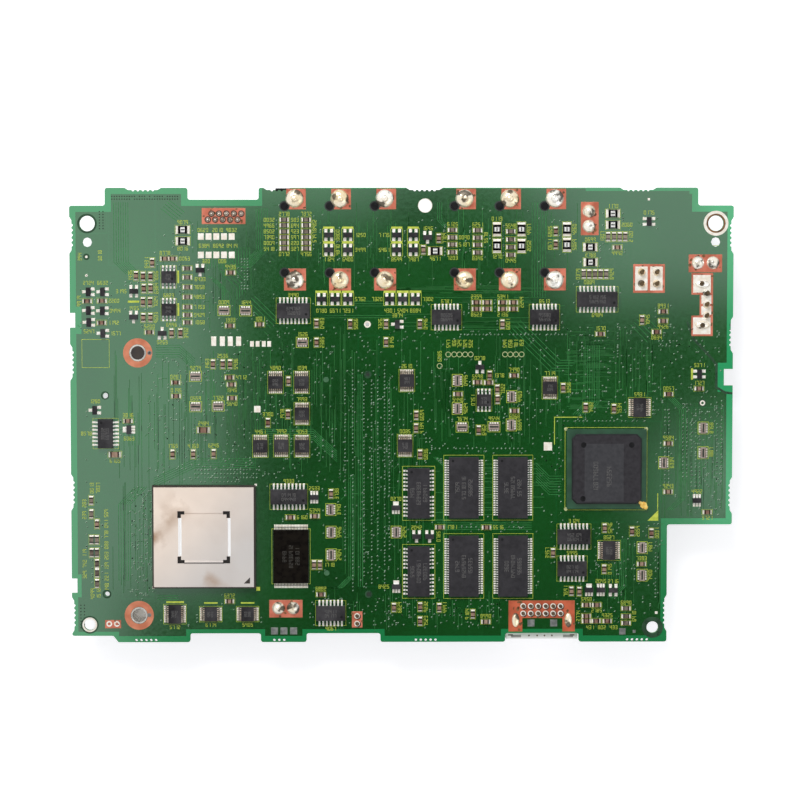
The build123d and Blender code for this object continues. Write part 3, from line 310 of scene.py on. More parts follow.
# Plain finishes: dark colour, light colour, fineness of the grain, roughness and what else each has
plainFinishes = {
    "laminate": ((0.004, 0.045, 0.018), (0.008, 0.07, 0.028), 300, 0.4),
    "darkLaminate": ((0.012, 0.008, 0.006), (0.03, 0.02, 0.014), 300, 0.5),
    "moulding": ((0.01, 0.009, 0.011), (0.058, 0.056, 0.06), 700, 0.55, {"sheen": 0.15, "drift": 0.7}),
    "memoryMoulding": (
        (0.022, 0.021, 0.024), (0.042, 0.04, 0.045), 700, 0.5, {"sheen": 0.15, "drift": 0.4},
    ),
    "processorMoulding": ((0.026, 0.024, 0.028), (0.038, 0.036, 0.041), 700, 0.5, {"sheen": 0.15}),
    "processorLabel": ((0.042, 0.042, 0.047), (0.056, 0.056, 0.062), 700, 0.5, {"sheen": 0.15}),
    "glossMoulding": ((0.003, 0.002, 0.0015), (0.007, 0.005, 0.003), 500, 0.3, {"sheen": 0.08}),
    "tin": ((0.88, 0.85, 0.8), (1.0, 0.99, 0.96), 900, 0.42, {"metallic": 0.05, "bump": 0.00002}),
    "warmTin": ((0.4, 0.27, 0.2), (0.88, 0.76, 0.64), 900, 0.42, {"metallic": 0.05, "bump": 0.00002}),
    "dullTin": ((0.1, 0.11, 0.105), (0.24, 0.25, 0.24), 700, 0.45, {"bump": 0.00003}),
    "solder": ((0.66, 0.6, 0.5), (0.9, 0.86, 0.78), 350, 0.24, {"metallic": 0.85, "bump": 0.00006}),
    "tanCeramic": ((0.13, 0.045, 0.025), (0.4, 0.28, 0.2), 800, 0.5, {"drift": 0.6}),
    "resistorCeramic": ((0.09, 0.06, 0.045), (0.32, 0.27, 0.21), 800, 0.4, {"drift": 0.6}),
    "blackCeramic": ((0.008, 0.007, 0.009), (0.02, 0.018, 0.022), 800, 0.35),
    "networkCeramic": ((0.3, 0.22, 0.19), (0.52, 0.43, 0.38), 800, 0.4),
    "fuseGlass": ((0.5, 0.52, 0.5), (0.62, 0.64, 0.62), 200, 0.12, {"coat": 0.5}),
    "nickel": ((0.55, 0.53, 0.5), (0.72, 0.7, 0.66), 400, 0.28, {"metallic": 1.0, "bump": 0.00003}),
    "sleeve": ((0.012, 0.013, 0.02), (0.025, 0.026, 0.035), 300, 0.25, {"coat": 0.3}),
    "nylon": ((0.66, 0.64, 0.56), (0.78, 0.76, 0.68), 500, 0.4, {"bump": 0.00003}),
    "whiteNylon": ((0.92, 0.92, 0.9), (1.0, 1.0, 0.98), 500, 0.4, {"bump": 0.00003}),
    "socketPlastic": ((0.016, 0.016, 0.017), (0.03, 0.029, 0.03), 500, 0.4, {"bump": 0.00004}),
    "basePlastic": ((0.003, 0.003, 0.004), (0.01, 0.01, 0.011), 500, 0.4, {"sheen": 0.15}),
    "silkscreen": ((0.42, 0.52, 0.045), (0.62, 0.7, 0.09), 900, 0.6),
    "tracks": ((0.012, 0.14, 0.028), (0.022, 0.21, 0.045), 500, 0.3),
    "faintTracks": ((0.005, 0.07, 0.01), (0.015, 0.18, 0.03), 60, 0.3, {"vary": 0.4}),
    "padTin": ((0.86, 0.78, 0.66), (1.0, 0.97, 0.9), 700, 0.4, {"metallic": 0.05, "bump": 0.00003}),
    "gold": ((0.75, 0.36, 0.03), (1.0, 0.72, 0.2), 900, 0.35, {"metallic": 0.2, "bump": 0.00002}),
    "pinEnd": ((0.012, 0.008, 0.004), (0.15, 0.09, 0.03), 900, 0.4, {"metallic": 0.2, "vary": 0.3}),
    "ringInk": ((0.42, 0.46, 0.2), (0.62, 0.62, 0.34), 900, 0.5),
    "copper": ((0.46, 0.115, 0.06), (0.68, 0.2, 0.125), 260, 0.4, {"metallic": 0.15, "bump": 0.00002}),
    "redCopper": (
        (0.42, 0.075, 0.026), (0.6, 0.125, 0.05), 260, 0.4, {"metallic": 0.15, "bump": 0.00002},
    ),
    "orangeCopper": (
        (0.54, 0.17, 0.085), (0.68, 0.25, 0.14), 300, 0.4, {"metallic": 0.15, "bump": 0.00002},
    ),
    "flux": ((0.12, 0.05, 0.02), (0.26, 0.12, 0.04), 500, 0.25),
    "burntFluxAndShadow": ((0.02, 0.01, 0.006), (0.12, 0.045, 0.02), 900, 0.3),
    "greyNylon": ((0.3, 0.3, 0.29), (0.42, 0.42, 0.4), 500, 0.4),
    "paleInk": ((0.08, 0.08, 0.082), (0.14, 0.135, 0.13), 900, 0.6),
    "faintInk": ((0.022, 0.02, 0.016), (0.045, 0.042, 0.034), 900, 0.5),
    "whiteInk": ((0.7, 0.7, 0.68), (0.85, 0.85, 0.83), 900, 0.6),
    "darkRing": ((0.003, 0.035, 0.01), (0.006, 0.055, 0.016), 500, 0.3),
    "pegGapShade": ((0.028, 0.034, 0.032), (0.045, 0.052, 0.05), 500, 0.4, {"sheen": 0.2}),
    "via": ((0.07, 0.18, 0.09), (0.5, 0.66, 0.52), 900, 0.4, {"vary": 0.7}),
    "maskedPad": ((0.04, 0.12, 0.055), (0.08, 0.19, 0.1), 500, 0.4, {"sheen": 0.2}),
    "hollow": ((0.004, 0.012, 0.006), (0.01, 0.02, 0.01), 500, 0.8),
}
finishes = {
    "solderMask": makeSolderMask(), "lidMetal": makeLidMetal(), "domeSolder": makeDomeSolder(),
}
for name, (dark, light, grain, roughness, *extras) in plainFinishes.items():
    finishes[name] = speckled(name, dark, light, grain, roughness, **dict(*extras))

# Which finish each part of the board has; joints are solder and the rest is tinned
nodeFinish = {
    "pcb": "solderMask", "controller_substrate": "darkLaminate", "controller_lid": "lidMetal",
    "processor_substrate": "laminate", "processor_moulding": "processorMoulding",
    "logic_chip_bodies": "moulding", "small_chip_bodies": "moulding",
    "memory_chip_bodies": "memoryMoulding", "buffer_memory_bodies": "memoryMoulding",
    "flash_chip_body": "glossMoulding", "driver_chip_bodies": "moulding", "transistor_bodies": "moulding",
    "chip_capacitors": "tanCeramic", "power_capacitors": "tanCeramic",
    "chip_resistors": "resistorCeramic", "power_resistors": "blackCeramic",
    "resistor_networks": "networkCeramic", "left_fuse_bases": "basePlastic",
    "right_fuse_bases": "basePlastic", "fuse_tubes": "fuseGlass", "fuse_caps": "nickel",
    "can_capacitors": "sleeve", "ground_standoffs": "nickel", "zigzag_header_shell": "nylon",
    "pair_header_body": "socketPlastic", "power_socket_shell": "socketPlastic",
    "supply_connector_housing": "socketPlastic", "signal_connector_housing": "whiteNylon",
}
for name, node in nodes.items():
    if name.endswith("joints"):
        finish = "solder"
    else:
        finish = nodeFinish.get(name, "tin")
    node.data.materials.clear()
    node.data.materials.append(finishes[finish])
print("finishes on the board's own parts")


# Shapes that repeat: each is modelled once and copied
def mm(length):
    return length / 1000


def deselectAll():
    bpy.ops.object.select_all(action="DESELECT")


def editTop(shape, lowest):
    # edit mode with the upward faces above that height selected
    bpy.context.view_layer.objects.active = shape
    for face in shape.data.polygons:
        face.select = face.normal.z > 0.5 and face.center.z > lowest
    for edge in shape.data.edges:
        edge.select = False
    for point in shape.data.vertices:
        point.select = False
    for face in shape.data.polygons:
        if face.select:
            for index in face.vertices:
                shape.data.vertices[index].select = True
    bpy.ops.object.mode_set(mode="EDIT")
    bpy.ops.mesh.select_mode(type="FACE")


def startUpright(kind, **sizes):
    # a primitive one high that stands on the board's surface
    deselectAll()
    kind(location=(0, 0, 0.5), **sizes)
    shape = bpy.context.object
    bpy.ops.object.transform_apply(location=True, rotation=False, scale=False)
    return shape


def modelTile(rim=0.06):
    # a flat mark one unit long and wide and one high, with a worn rim
    tile = startUpright(bpy.ops.mesh.primitive_cube_add, size=1)
    editTop(tile, 0.5)
    bpy.ops.transform.resize(value=(1 - rim, 1 - rim, 1))
    bpy.ops.object.mode_set(mode="OBJECT")
    return tile


def modelDisc(sides=10, rim=0.8):
    # a round mark of unit radius, one high, domed by its smaller top
    disc = startUpright(bpy.ops.mesh.primitive_cylinder_add, vertices=sides, radius=1, depth=1)
    editTop(disc, 0.5)
    bpy.ops.transform.resize(value=(rim, rim, 1))
    bpy.ops.object.mode_set(mode="OBJECT")
    return disc


def modelRing(inner, sides=32):
    # a flat ring of unit outer radius, one high
    ring = startUpright(bpy.ops.mesh.primitive_cylinder_add, vertices=sides, radius=1, depth=1)
    cutter = ring.copy()
    cutter.data = ring.data.copy()
    cutter.data.transform(Matrix.Diagonal((inner, inner, 3, 1)) @ Matrix.Translation((0, 0, -0.3)))
    bpy.context.collection.objects.link(cutter)
    cut = ring.modifiers.new("hole", "BOOLEAN")
    cut.object = cutter
    cut.operation = "DIFFERENCE"
    bpy.context.view_layer.objects.active = ring
    bpy.ops.object.modifier_apply(modifier="hole")
    bpy.data.objects.remove(cutter)
    return ring


def modelEndCap(width, height, cover, reach):
    # a chip's plated end, reaching over the body from x 0 back to -cover, with its solder fillet in front
    wall = mm(0.04)
    end = startUpright(bpy.ops.mesh.primitive_cube_add, size=1)
    end.data.transform(Matrix.Translation((-0.5, 0, 0)))
    end.data.transform(Matrix.Diagonal((cover + wall, width + 2 * wall, height + wall, 1)))
    end.data.transform(Matrix.Translation((wall, 0, 0)))
    for face in end.data.polygons:
        face.select = face.normal.x > 0.5
    bpy.ops.object.mode_set(mode="EDIT")
    bpy.ops.mesh.select_mode(type="FACE")
    bpy.ops.mesh.extrude_region_move(TRANSFORM_OT_translate={"value": (reach * 0.45, 0, 0)})
    bpy.ops.object.mode_set(mode="OBJECT")
    for point in end.data.vertices:
        if point.co.x > wall * 1.5 and point.co.z > height * 0.5:
            point.co.z = height * 0.38
    bpy.ops.object.mode_set(mode="EDIT")
    bpy.ops.mesh.extrude_region_move(TRANSFORM_OT_translate={"value": (reach * 0.55, 0, 0)})
    bpy.ops.object.mode_set(mode="OBJECT")
    for point in end.data.vertices:
        if point.co.x > reach * 0.9:
            point.co.y *= 1.06
            if point.co.z > mm(0.05):
                point.co.z = mm(0.08)
    return end


def modelLead(width, reach, drop):
    # a gull-wing lead that leaves the body at height drop and ends in a flat foot at y = reach
    thick = mm(0.16)
    lead = startUpright(bpy.ops.mesh.primitive_cube_add, size=1)
    lead.data.transform(Matrix.Diagonal((width, reach * 0.3, thick, 1)))
    lead.data.transform(Matrix.Translation((0, reach * 0.1, drop - thick)))
    for face in lead.data.polygons:
        face.select = face.normal.y > 0.5
    bpy.ops.object.mode_set(mode="EDIT")
    bpy.ops.mesh.select_mode(type="FACE")
    bpy.ops.mesh.extrude_region_move(TRANSFORM_OT_translate={"value": (0, reach * 0.22, thick - drop)})
    bpy.ops.mesh.extrude_region_move(TRANSFORM_OT_translate={"value": (0, reach * 0.53, 0)})
    bpy.ops.object.mode_set(mode="OBJECT")
    return lead


def joinPieces(name, parts, finish, replaced=()):
    deselectAll()
    for part in parts:
        part.select_set(True)
    bpy.context.view_layer.objects.active = parts[0]
    if len(parts) > 1:
        bpy.ops.object.join()
    piece = bpy.context.object
    piece.name = name
    piece.data.materials.clear()
    piece.data.materials.append(finishes[finish])
    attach(piece, "root")
    for node in replaced:
        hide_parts(node)
    return piece


def scatter(name, shape, spots, finish, replaced=()):
    # one joined piece of a copy of the shape at every spot
    copies = []
    for spot in spots:
        copy = shape.copy()
        copy.data = shape.data.copy()
        copy.data.transform(spot)
        bpy.context.collection.objects.link(copy)
        copies.append(copy)
    bpy.data.objects.remove(shape)
    return joinPieces(name, copies, finish, replaced)


def stamp(name, shape, spots, finish, replaced=()):
    # the same for plain flat shapes, whose many copies are written into one mesh
    points = []
    faces = []
    corners = [point.co.copy() for point in shape.data.vertices]
    rounds = [tuple(face.vertices) for face in shape.data.polygons]
    for spot in spots:
        first = len(points)
        points += [spot @ corner for corner in corners]
        faces += [[first + index for index in face] for face in rounds]
    bpy.data.objects.remove(shape)
    mesh = bpy.data.meshes.new(name)
    mesh.from_pydata(points, [], faces)
    piece = bpy.data.objects.new(name, mesh)
    bpy.context.collection.objects.link(piece)
    return joinPieces(name, [piece], finish, replaced)


def spotAt(x, y, height=0.0, turn=0.0, size=(1, 1, 1)):
    # where a copy goes: millimetres on the board, its turn in degrees and its size
    place = Matrix.Translation((mm(x), mm(y), boardTop + mm(height)))
    return place @ Matrix.Rotation(math.radians(turn), 4, "Z") @ Matrix.Diagonal((*size, 1))


def mark(x, y, length, width, turn=0.0, height=0.0, thick=0.03):
    return spotAt(x, y, height, turn, (mm(length), mm(width), mm(thick)))


def dot(x, y, radius, height=0.0, thick=0.03):
    return mark(x, y, radius, radius, 0, height, thick)


def rise(name):
    # how far a CAD node reaches above the board, in millimetres
    return (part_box(name)[1][2] - boardTop) * 1000


def outlineMarks(x, y, length, width, line):
    # the four lines of a printed box
    spots = [mark(x, y + side * width / 2, length + line, line) for side in (-1, 1)]
    return spots + [mark(x + side * length / 2, y, line, width + line) for side in (-1, 1)]


def route(points, width, thick=0.02):
    # a track or a printed line through the points
    spots = []
    for (x0, y0), (x1, y1) in zip(points, points[1:]):
        length = math.hypot(x1 - x0, y1 - y0) + width
        turn = math.degrees(math.atan2(y1 - y0, x1 - x0))
        spots.append(mark((x0 + x1) / 2, (y0 + y1) / 2, length, width, turn, thick=thick))
    return spots


# Each figure is drawn from the seven bars of a plain counter
figureBars = {
    "top": (0, 1, 1), "middle": (0, 0, 1), "foot": (0, -1, 1), "upperLeft": (-1, 0.5, 0),
    "upperRight": (1, 0.5, 0), "lowerLeft": (-1, -0.5, 0), "lowerRight": (1, -0.5, 0),
}
figureStep = 0.82
figures = {
    0: "top foot upperLeft upperRight lowerLeft lowerRight", 1: "upperRight lowerRight",
    2: "top middle foot upperRight lowerLeft", 3: "top middle foot upperRight lowerRight",
    4: "middle upperLeft upperRight lowerRight", 5: "top middle foot upperLeft lowerRight",
    6: "top middle foot upperLeft lowerLeft lowerRight", 7: "top upperRight lowerRight",
    8: "top middle foot upperLeft upperRight lowerLeft lowerRight",
    9: "top middle upperLeft upperRight lowerRight",
}


def number(x, y, count, size, turn=0.0, stroke=0.24, height=0.0):
    # a made-up number of that many figures, its middle at x and y
    spots = []
    along = Matrix.Rotation(math.radians(turn), 2)
    for index in range(count):
        shift = (index - (count - 1) / 2) * size * figureStep
        for bar in figures[random.randrange(10)].split():
            side, level, flat = figureBars[bar]
            place = along @ Vector((shift + side * size * 0.24, level * size * 0.5))
            length = size * 0.56 if flat else size * 0.5 + stroke
            spots.append(mark(x + place.x, y + place.y, length, stroke, turn + 90 - 90 * flat, height))
    return spots


def solidBoxes(name):
    # the box of each separate solid in a CAD node, in millimetres: (low x, low y, high x, high y, height)
    mesh = nodes[name].data
    places = {}
    owner = []
    corners = []
    for point in mesh.vertices:
        key = tuple(round(part, 6) for part in point.co)
        if key not in places:
            places[key] = len(owner)
            owner.append(len(owner))
        corners.append(places[key])

    def root(corner):
        while owner[corner] != corner:
            owner[corner] = owner[owner[corner]]
            corner = owner[corner]
        return corner

    for face in mesh.polygons:
        first = root(corners[face.vertices[0]])
        for index in face.vertices[1:]:
            owner[root(corners[index])] = first
    groups = {}
    for point, corner in zip(mesh.vertices, corners):
        groups.setdefault(root(corner), []).append(point.co)
    boxes = []
    for points in groups.values():
        xs = [point.x * 1000 for point in points]
        ys = [point.y * 1000 for point in points]
        top = (max(point.z for point in points) - boardTop) * 1000
        boxes.append((min(xs), min(ys), max(xs), max(ys), top))
    return boxes


def middle(box):
    return (box[0] + box[2]) / 2, (box[1] + box[3]) / 2


def spans(box):
    return box[2] - box[0], box[3] - box[1]


def plans(*names):
    # the middle, length, width and height of every separate solid of these CAD nodes, in millimetres
    return [(*middle(box), *spans(box), box[4]) for name in names for box in solidBoxes(name)]


def leadRows(leadNode, bodyNode):
    # for each lead or row of leads: where it leaves its body, which way it points and how long its row is
    bodies = solidBoxes(bodyNode)
    rows = []
    for lead in solidBoxes(leadNode):
        leadX, leadY = middle(lead)
        for body in bodies:
            gapX = max(body[0] - lead[2], lead[0] - body[2])
            gapY = max(body[1] - lead[3], lead[1] - body[3])
            if max(gapX, gapY) < 0.3:
                break
        bodyX, bodyY = middle(body)
        if gapX > gapY:
            side = 1 if leadX > bodyX else -1
            rows.append((body[2] if side > 0 else body[0], leadY, -90 * side, spans(lead)[1]))
        else:
            side = 1 if leadY > bodyY else -1
            rows.append((leadX, body[3] if side > 0 else body[1], 0 if side > 0 else 180, spans(lead)[0]))
    return rows


def spread(row, pitch):
    # the leads of one row, evenly spaced
    x, y, turn, length = row
    count = round(length / pitch)
    along = Vector((math.cos(math.radians(turn)), math.sin(math.radians(turn))))
    steps = [(index - (count - 1) / 2) * pitch for index in range(count)]
    return [(x + along.x * step, y + along.y * step, turn) for step in steps]


def ahead(turn, distance):
    # a step of that length in the direction in which a lead points
    return Vector((-math.sin(math.radians(turn)), math.cos(math.radians(turn)))) * distance


# Leads: gull wings in place of the sloping rows, each on its soldered pad
leadSets = {
    "logic_chip": {"width": 0.5, "reach": 1.5, "drop": 0.9, "pitch": None, "finish": "tin"},
    "small_chip": {"width": 0.5, "reach": 1.45, "drop": 0.75, "pitch": None, "finish": "tin"},
    "memory_chip": {"width": 0.36, "reach": 1.1, "drop": 0.5, "pitch": 0.8, "finish": "tin"},
    "buffer_memory": {"width": 0.5, "reach": 1.05, "drop": 0.5, "pitch": None, "finish": "tin"},
    "flash_chip": {"width": 0.26, "reach": 1.25, "drop": 0.5, "pitch": 0.5, "finish": "padTin"},
    "driver_chip": {"width": 0.34, "reach": 1.15, "drop": 0.5, "pitch": 0.65, "finish": "warmTin"},
}
padSpots = []
for name, sizes in leadSets.items():
    node = name + "_leads"
    body = name + "_bodies" if name + "_bodies" in nodes else name + "_body"
    spots = []
    for row in leadRows(node, body):
        spots += spread(row, sizes["pitch"]) if sizes["pitch"] else [row[:3]]
    reach = sizes["reach"]
    leadSpots = [spotAt(x, y, 0.02, turn) for x, y, turn in spots]
    shape = modelLead(mm(sizes["width"]), mm(reach), mm(sizes["drop"]))
    stamp(name + "_gull_leads", shape, leadSpots, sizes["finish"], [node])
    heel = 0.45 * reach
    toe = reach + 0.35
    for x, y, turn in spots:
        step = ahead(turn, (heel + toe) / 2)
        padSpots.append(mark(x + step.x, y + step.y, sizes["width"] + 0.16, toe - heel, turn, thick=0.05))
print("leads bent and soldered")

for x, y, turn, width in leadRows("transistor_leads", "transistor_bodies"):
    step = ahead(turn, 0.62)
    padSpots.append(mark(x + step.x, y + step.y, width + 0.36, 1.3, turn, thick=0.12))
stamp("lead_pads", modelTile(0.2), padSpots, "padTin")

# Chip parts: plated ends with their solder fillets, in a printed box
chipSets = {
    "chip_capacitors": {"width": 1.25, "height": 0.8, "cover": 0.42, "reach": 0.5},
    "chip_resistors": {"width": 1.25, "height": 0.5, "cover": 0.36, "reach": 0.5},
    "power_capacitors": {"width": 1.75, "height": 1.2, "cover": 0.6, "reach": 0.5},
    "power_resistors": {"width": 2.5, "height": 0.6, "cover": 0.75, "reach": 0.7},
}
boxSpots = []
stripeSpots = []
grooveSpots = []
tagged = []
for name, sizes in chipSets.items():
    spots = []
    for box in solidBoxes(name):
        x, y = middle(box)
        length, width = spans(box)
        beyond = 2 * sizes["reach"] + 0.5
        if length > width:
            spots += [spotAt(box[2], y), spotAt(box[0], y, turn=180)]
            printed = (length + beyond, width + 0.55)
        else:
            spots += [spotAt(x, box[3], turn=90), spotAt(x, box[1], turn=-90)]
            printed = (length + 0.55, width + beyond)
        boxSpots += outlineMarks(x, y, *printed, 0.1)
        tagged.append((x, y, *printed))
        if name == "power_resistors":
            if length > width:
                stripeSpots.append(mark(x, y, length * 0.46, width * 0.66, height=0.6))
                grooveSpots.append(mark(x, y, length * 0.4, 0.36, height=0.61, thick=0.11))
            else:
                stripeSpots.append(mark(x, y, length * 0.66, width * 0.46, height=0.6))
                grooveSpots.append(mark(x, y, 0.36, width * 0.4, height=0.61, thick=0.11))
    cap = modelEndCap(mm(sizes["width"]), mm(sizes["height"]), mm(sizes["cover"]), mm(sizes["reach"]))
    stamp(name + "_ends", cap, spots, "padTin")

network = {"steps": (-1.2, -0.4, 0.4, 1.2), "groove": (3.0, 0.6), "room": (0.5, 1.6), "line": 0.16}
networkEnds = []
for x, y, length, width, top in plans("resistor_networks"):
    flat = length > width
    for step in network["steps"]:
        for side in (-1, 1):
            if flat:
                networkEnds.append(spotAt(x + step, y + side * width / 2, turn=90 * side))
            else:
                networkEnds.append(spotAt(x + side * length / 2, y + step, turn=90 - 90 * side))
    room = network["room"] if flat else network["room"][::-1]
    groove = network["groove"] if flat else network["groove"][::-1]
    printed = (length + room[0], width + room[1])
    boxSpots += outlineMarks(x, y, *printed, network["line"])
    tagged.append((x, y, *printed))
    grooveSpots.append(mark(x, y, *groove, height=0.6))
stamp("network_ends", modelEndCap(mm(0.5), mm(0.6), mm(0.25), mm(0.5)), networkEnds, "padTin")
print("chip parts soldered")

# Places that more than one thing shares, in millimetres
fuseColumns = (-36.0, -20.8, -5.6, 21.3, 36.5, 51.7)
transistorColumns = (-24.6, -18.2, -1.7, 3.9)
capacitorColumns = (-27.1, -22.5, -18.2, -4.1, 0.3, 4.6)
testColumns = (15.7, 17.7, 19.5, 21.4, 23.3, 34.9, 36.7, 38.6, 40.5)
groundHoles = ((-89.2, 21.4), (-89.2, -67.8))

# Bare copper, plated pads and rings, in millimetres: middle, length and width
bareCopper = {
    "upper fuse squares": [(x + 0.4, 73.2, 6.6, 6.9) for x in fuseColumns],
    "lower fuse squares": [(x, 46.1, 7.4, 7.4) for x in fuseColumns],
    "zigzag header": [(-60.0, 67.5, 14.7, 5.4)],
    "capacitor joints": [(63.4, 66.6, 6.0, 11.2), (102.5, 51.5, 11.3, 6.0), (-39.4, -65.6, 11.3, 6.0)],
    "power socket": [(83.5, 46.4, 10.7, 9.7)],
    "supply connector": [(101.5, 44.6, 7.3, 7.3), (102.9, 37.4, 4.5, 7.0), (101.5, 30.4, 7.3, 6.9)],
    "pair header": [(-15.2, -69.3, 3.6, 5.5)],
    "test holes": [(-98.1, -70.8, 5.4, 2.8)],
}
signalCopper = [(47.5, -65.9, 22.5, 6.0), (38.6, -71.2, 4.7, 4.6), (56.7, -71.2, 4.2, 4.6)]
copperAreas = [square for group in bareCopper.values() for square in group]
stamp("bare_copper", modelTile(0.02), [mark(*square, thick=0.03) for square in copperAreas], "copper")
signalSpots = [mark(*square, thick=0.03) for square in signalCopper]
stamp("signal_copper", modelTile(0.02), signalSpots, "redCopper")
copperAreas += signalCopper

# One stain of old flux to so many square millimetres of copper
stain = {"area": 6, "inside": 0.46, "long": (0.2, 0.7), "wide": (0.2, 0.6)}
stains = []
for x, y, length, width in copperAreas:
    for count in range(int(length * width / stain["area"])):
        stainX = x + random.uniform(-stain["inside"], stain["inside"]) * length
        stainY = y + random.uniform(-stain["inside"], stain["inside"]) * width
        long = random.uniform(*stain["long"])
        wide = random.uniform(*stain["wide"])
        stains.append(mark(stainX, stainY, long, wide, random.uniform(0, 90), 0.03, 0.01))
stamp("flux_stains", modelDisc(7, 0.9), stains, "flux")

platedPads = {
    "link row": [(-67.7 + 2.6 * index, y, 2.0, 2.2) for index in range(5) for y in (60.6, 54.4)],
    "tall pads": [(x, 25.3, 1.7, 3.2) for x in (-63.5, -60.6, -57.9, -55.1)],
    "short pads": [(x, 24.4, 1.3, 1.9) for x in (-50.6, -48.7, -46.6, -44.8)],
    "square pads": [(-48.9, 2.3, 2.2, 2.2), (49.5, -10.4, 2.8, 2.8)],
    "socket pads": [(x, 46.4, 4.4, 8.4) for x in (80.9, 86.0)],
    "inner supply pads": [(102.9, y, 3.5, 3.0) for y in (39.3, 35.6)],
    "outer supply pads": [(101.4, 44.6, 6.2, 6.2), (101.4, 30.4, 6.2, 5.9)],
    "small marks": [
        (-49.5, -23.4, 0.8, 0.8), (-84.3, -58.3, 0.9, 0.9), (86.5, -67.1, 0.9, 0.9),
        (83.3, 73.1, 0.8, 0.8),
    ],
}
plateAreas = [pad for group in platedPads.values() for pad in group]
stamp("plated_pads", modelTile(0.08), [mark(*pad, thick=0.06) for pad in plateAreas], "padTin")
dullPads = [(x, -73.2, 2.4, 2.4) for x in (-43.3, -40.1, -36.8)]
dullPads += [(x, -70.6, 2.4, 2.4) for x in (43.9, 51.6)]
dullPads += [(75.0, -73.5, 2.2, 2.2), (79.0, -73.5, 1.0, 1.0)]
stamp("dull_pads", modelTile(0.08), [mark(*pad, thick=0.06) for pad in dullPads], "dullTin")
plateAreas += dullPads

# Rings round the holes: middle, outer and inner radius
ringSets = {
    "ground_rings": {
        "finish": "orangeCopper",
        "rings": [(*hole, 4.95, 2.9) for hole in groundHoles],
    },
    "silver_rings": {
        "finish": "padTin",
        "rings": [
            (106.0, 65.0, 4.2, 3.25), (-106.0, -71.0, 2.5, 1.92), (-99.4, -70.7, 1.0, 0.5),
            (-96.8, -70.7, 1.0, 0.5), (-11.6, 31.0, 1.15, 0.55), (7.9, 71.0, 2.4, 2.15),
            (101.8, 4.3, 0.9, 0.45),
        ],
    },
    "brown_rings": {"finish": "flux", "rings": [(106.0, 65.0, 3.25, 2.7)]},
    "dark_rings": {
        "finish": "darkRing",
        "rings": [
            (-106.0, 65.0, 3.3, 2.65), (-106.0, -71.0, 3.0, 2.5), (85.2, -72.1, 3.6, 2.02),
            (-100.1, -60.5, 1.5, 0.95), (-11.5, 14.0, 1.3, 0.55), (-11.3, -60.7, 1.3, 0.75),
            (-100.3, 7.0, 1.4, 1.0), (-106.3, 53.8, 1.1, 0.5), (101.8, 4.3, 1.3, 0.95),
        ],
    },
}
ringAreas = []
for name, ringSet in ringSets.items():
    parts = []
    for x, y, outer, inner in ringSet["rings"]:
        part = modelRing(inner / outer, 40 if outer > 2 else 20)
        part.data.transform(dot(x, y, outer, 0, 0.04))
        parts.append(part)
        ringAreas.append((x, y, 2 * outer, 2 * outer))
    joinPieces(name, parts, ringSet["finish"])

# The threaded standoffs within the orange rings, and the via beside each; dark discs over the upper
# standoff's bore and its via are painted shade of the holes
lipSpots = [dot(x, y, 2.75, 0, 0.05) for x, y in groundHoles]
scatter("standoff_lips", modelRing(0.84, 40), lipSpots, "nickel")
groundVias = [dot(-85.2, 21.4, 0.75, 0.04, 0.02), dot(-85.8, -67.7, 0.7, 0.04, 0.02)]
stamp("ground_vias", modelDisc(12), groundVias, "dullTin")
# painted shade: dark discs for the depth of the bore and of the via's hole
stamp("standoff_bore_shade", modelDisc(32), [dot(*groundHoles[0], 2.28, 0.05, 0.02)], "darkLaminate")
stamp("ground_via_bore_shade", modelDisc(12), [dot(-85.2, 21.4, 0.4, 0.06, 0.01)], "darkLaminate")

# Round the thin pins: burnt flux on the zigzag header; on the others a tinned land, with a dark disc set
# off to one side that peeks out below and to the right of it as a painted shadow
landSpots = []
fluxAndShadowSpots = []
for x, y, length, width, top in plans("header_solder_joints"):
    if y > 0:
        fluxAndShadowSpots.append(dot(x, y, 1.15, 0.03, 0.01))
    else:
        # painted shadow: the dark disc, set off from the land, shows as a crescent beside it
        fluxAndShadowSpots.append(dot(x + 0.15, y - 0.1, 1.1, 0.03, 0.01))
        landSpots.append(dot(x - 0.12, y + 0.1, 0.98, 0.03, 0.03))
scatter("pin_lands", modelRing(0.62, 14), landSpots, "padTin")
stamp("pin_flux_and_shadow", modelDisc(12), fluxAndShadowSpots, "burntFluxAndShadow")

# The white connector's edge in its notch: dark contact ends and two grey tabs
connectorRise = rise("signal_connector_housing")
contactTicks = [mark(x, -75.1, 0.5, 0.5, 0, connectorRise, 0.01) for x in (43.3, 46.1, 48.6, 51.1)]
contactTicks += [mark(x, -74.9, 1.6, 0.4, 0, connectorRise, 0.01) for x in (37.0, 58.0)]
stamp("contact_ticks", modelTile(0.05), contactTicks, "pinEnd")
tabMarks = [mark(x, -75.3, 3.4, 0.9, 0, connectorRise, 0.01) for x in (38.9, 56.6)]
stamp("connector_tab_marks", modelTile(0.05), tabMarks, "greyNylon")

# The fuse bases' pegs, left of each column of squares; the charcoal ring round each peg is painted shade
# in the gap between peg and hole
pegSize = {"left": 3.5, "rows": (70.85, 48.45), "ring": 1.75, "end": 1.32}
pegSpots = [(x - pegSize["left"], y) for x in fuseColumns for y in pegSize["rows"]]
# painted shade: a dark ring in the gap round each peg
shadedPegGaps = [dot(x, y, pegSize["ring"], 0.04, 0.02) for x, y in pegSpots]
scatter("peg_gap_shades", modelRing(0.74, 20), shadedPegGaps, "pegGapShade")
pegEnds = [dot(x, y, pegSize["end"], 0.04, 0.02) for x, y in pegSpots]
stamp("peg_ends", modelDisc(18), pegEnds, "basePlastic")

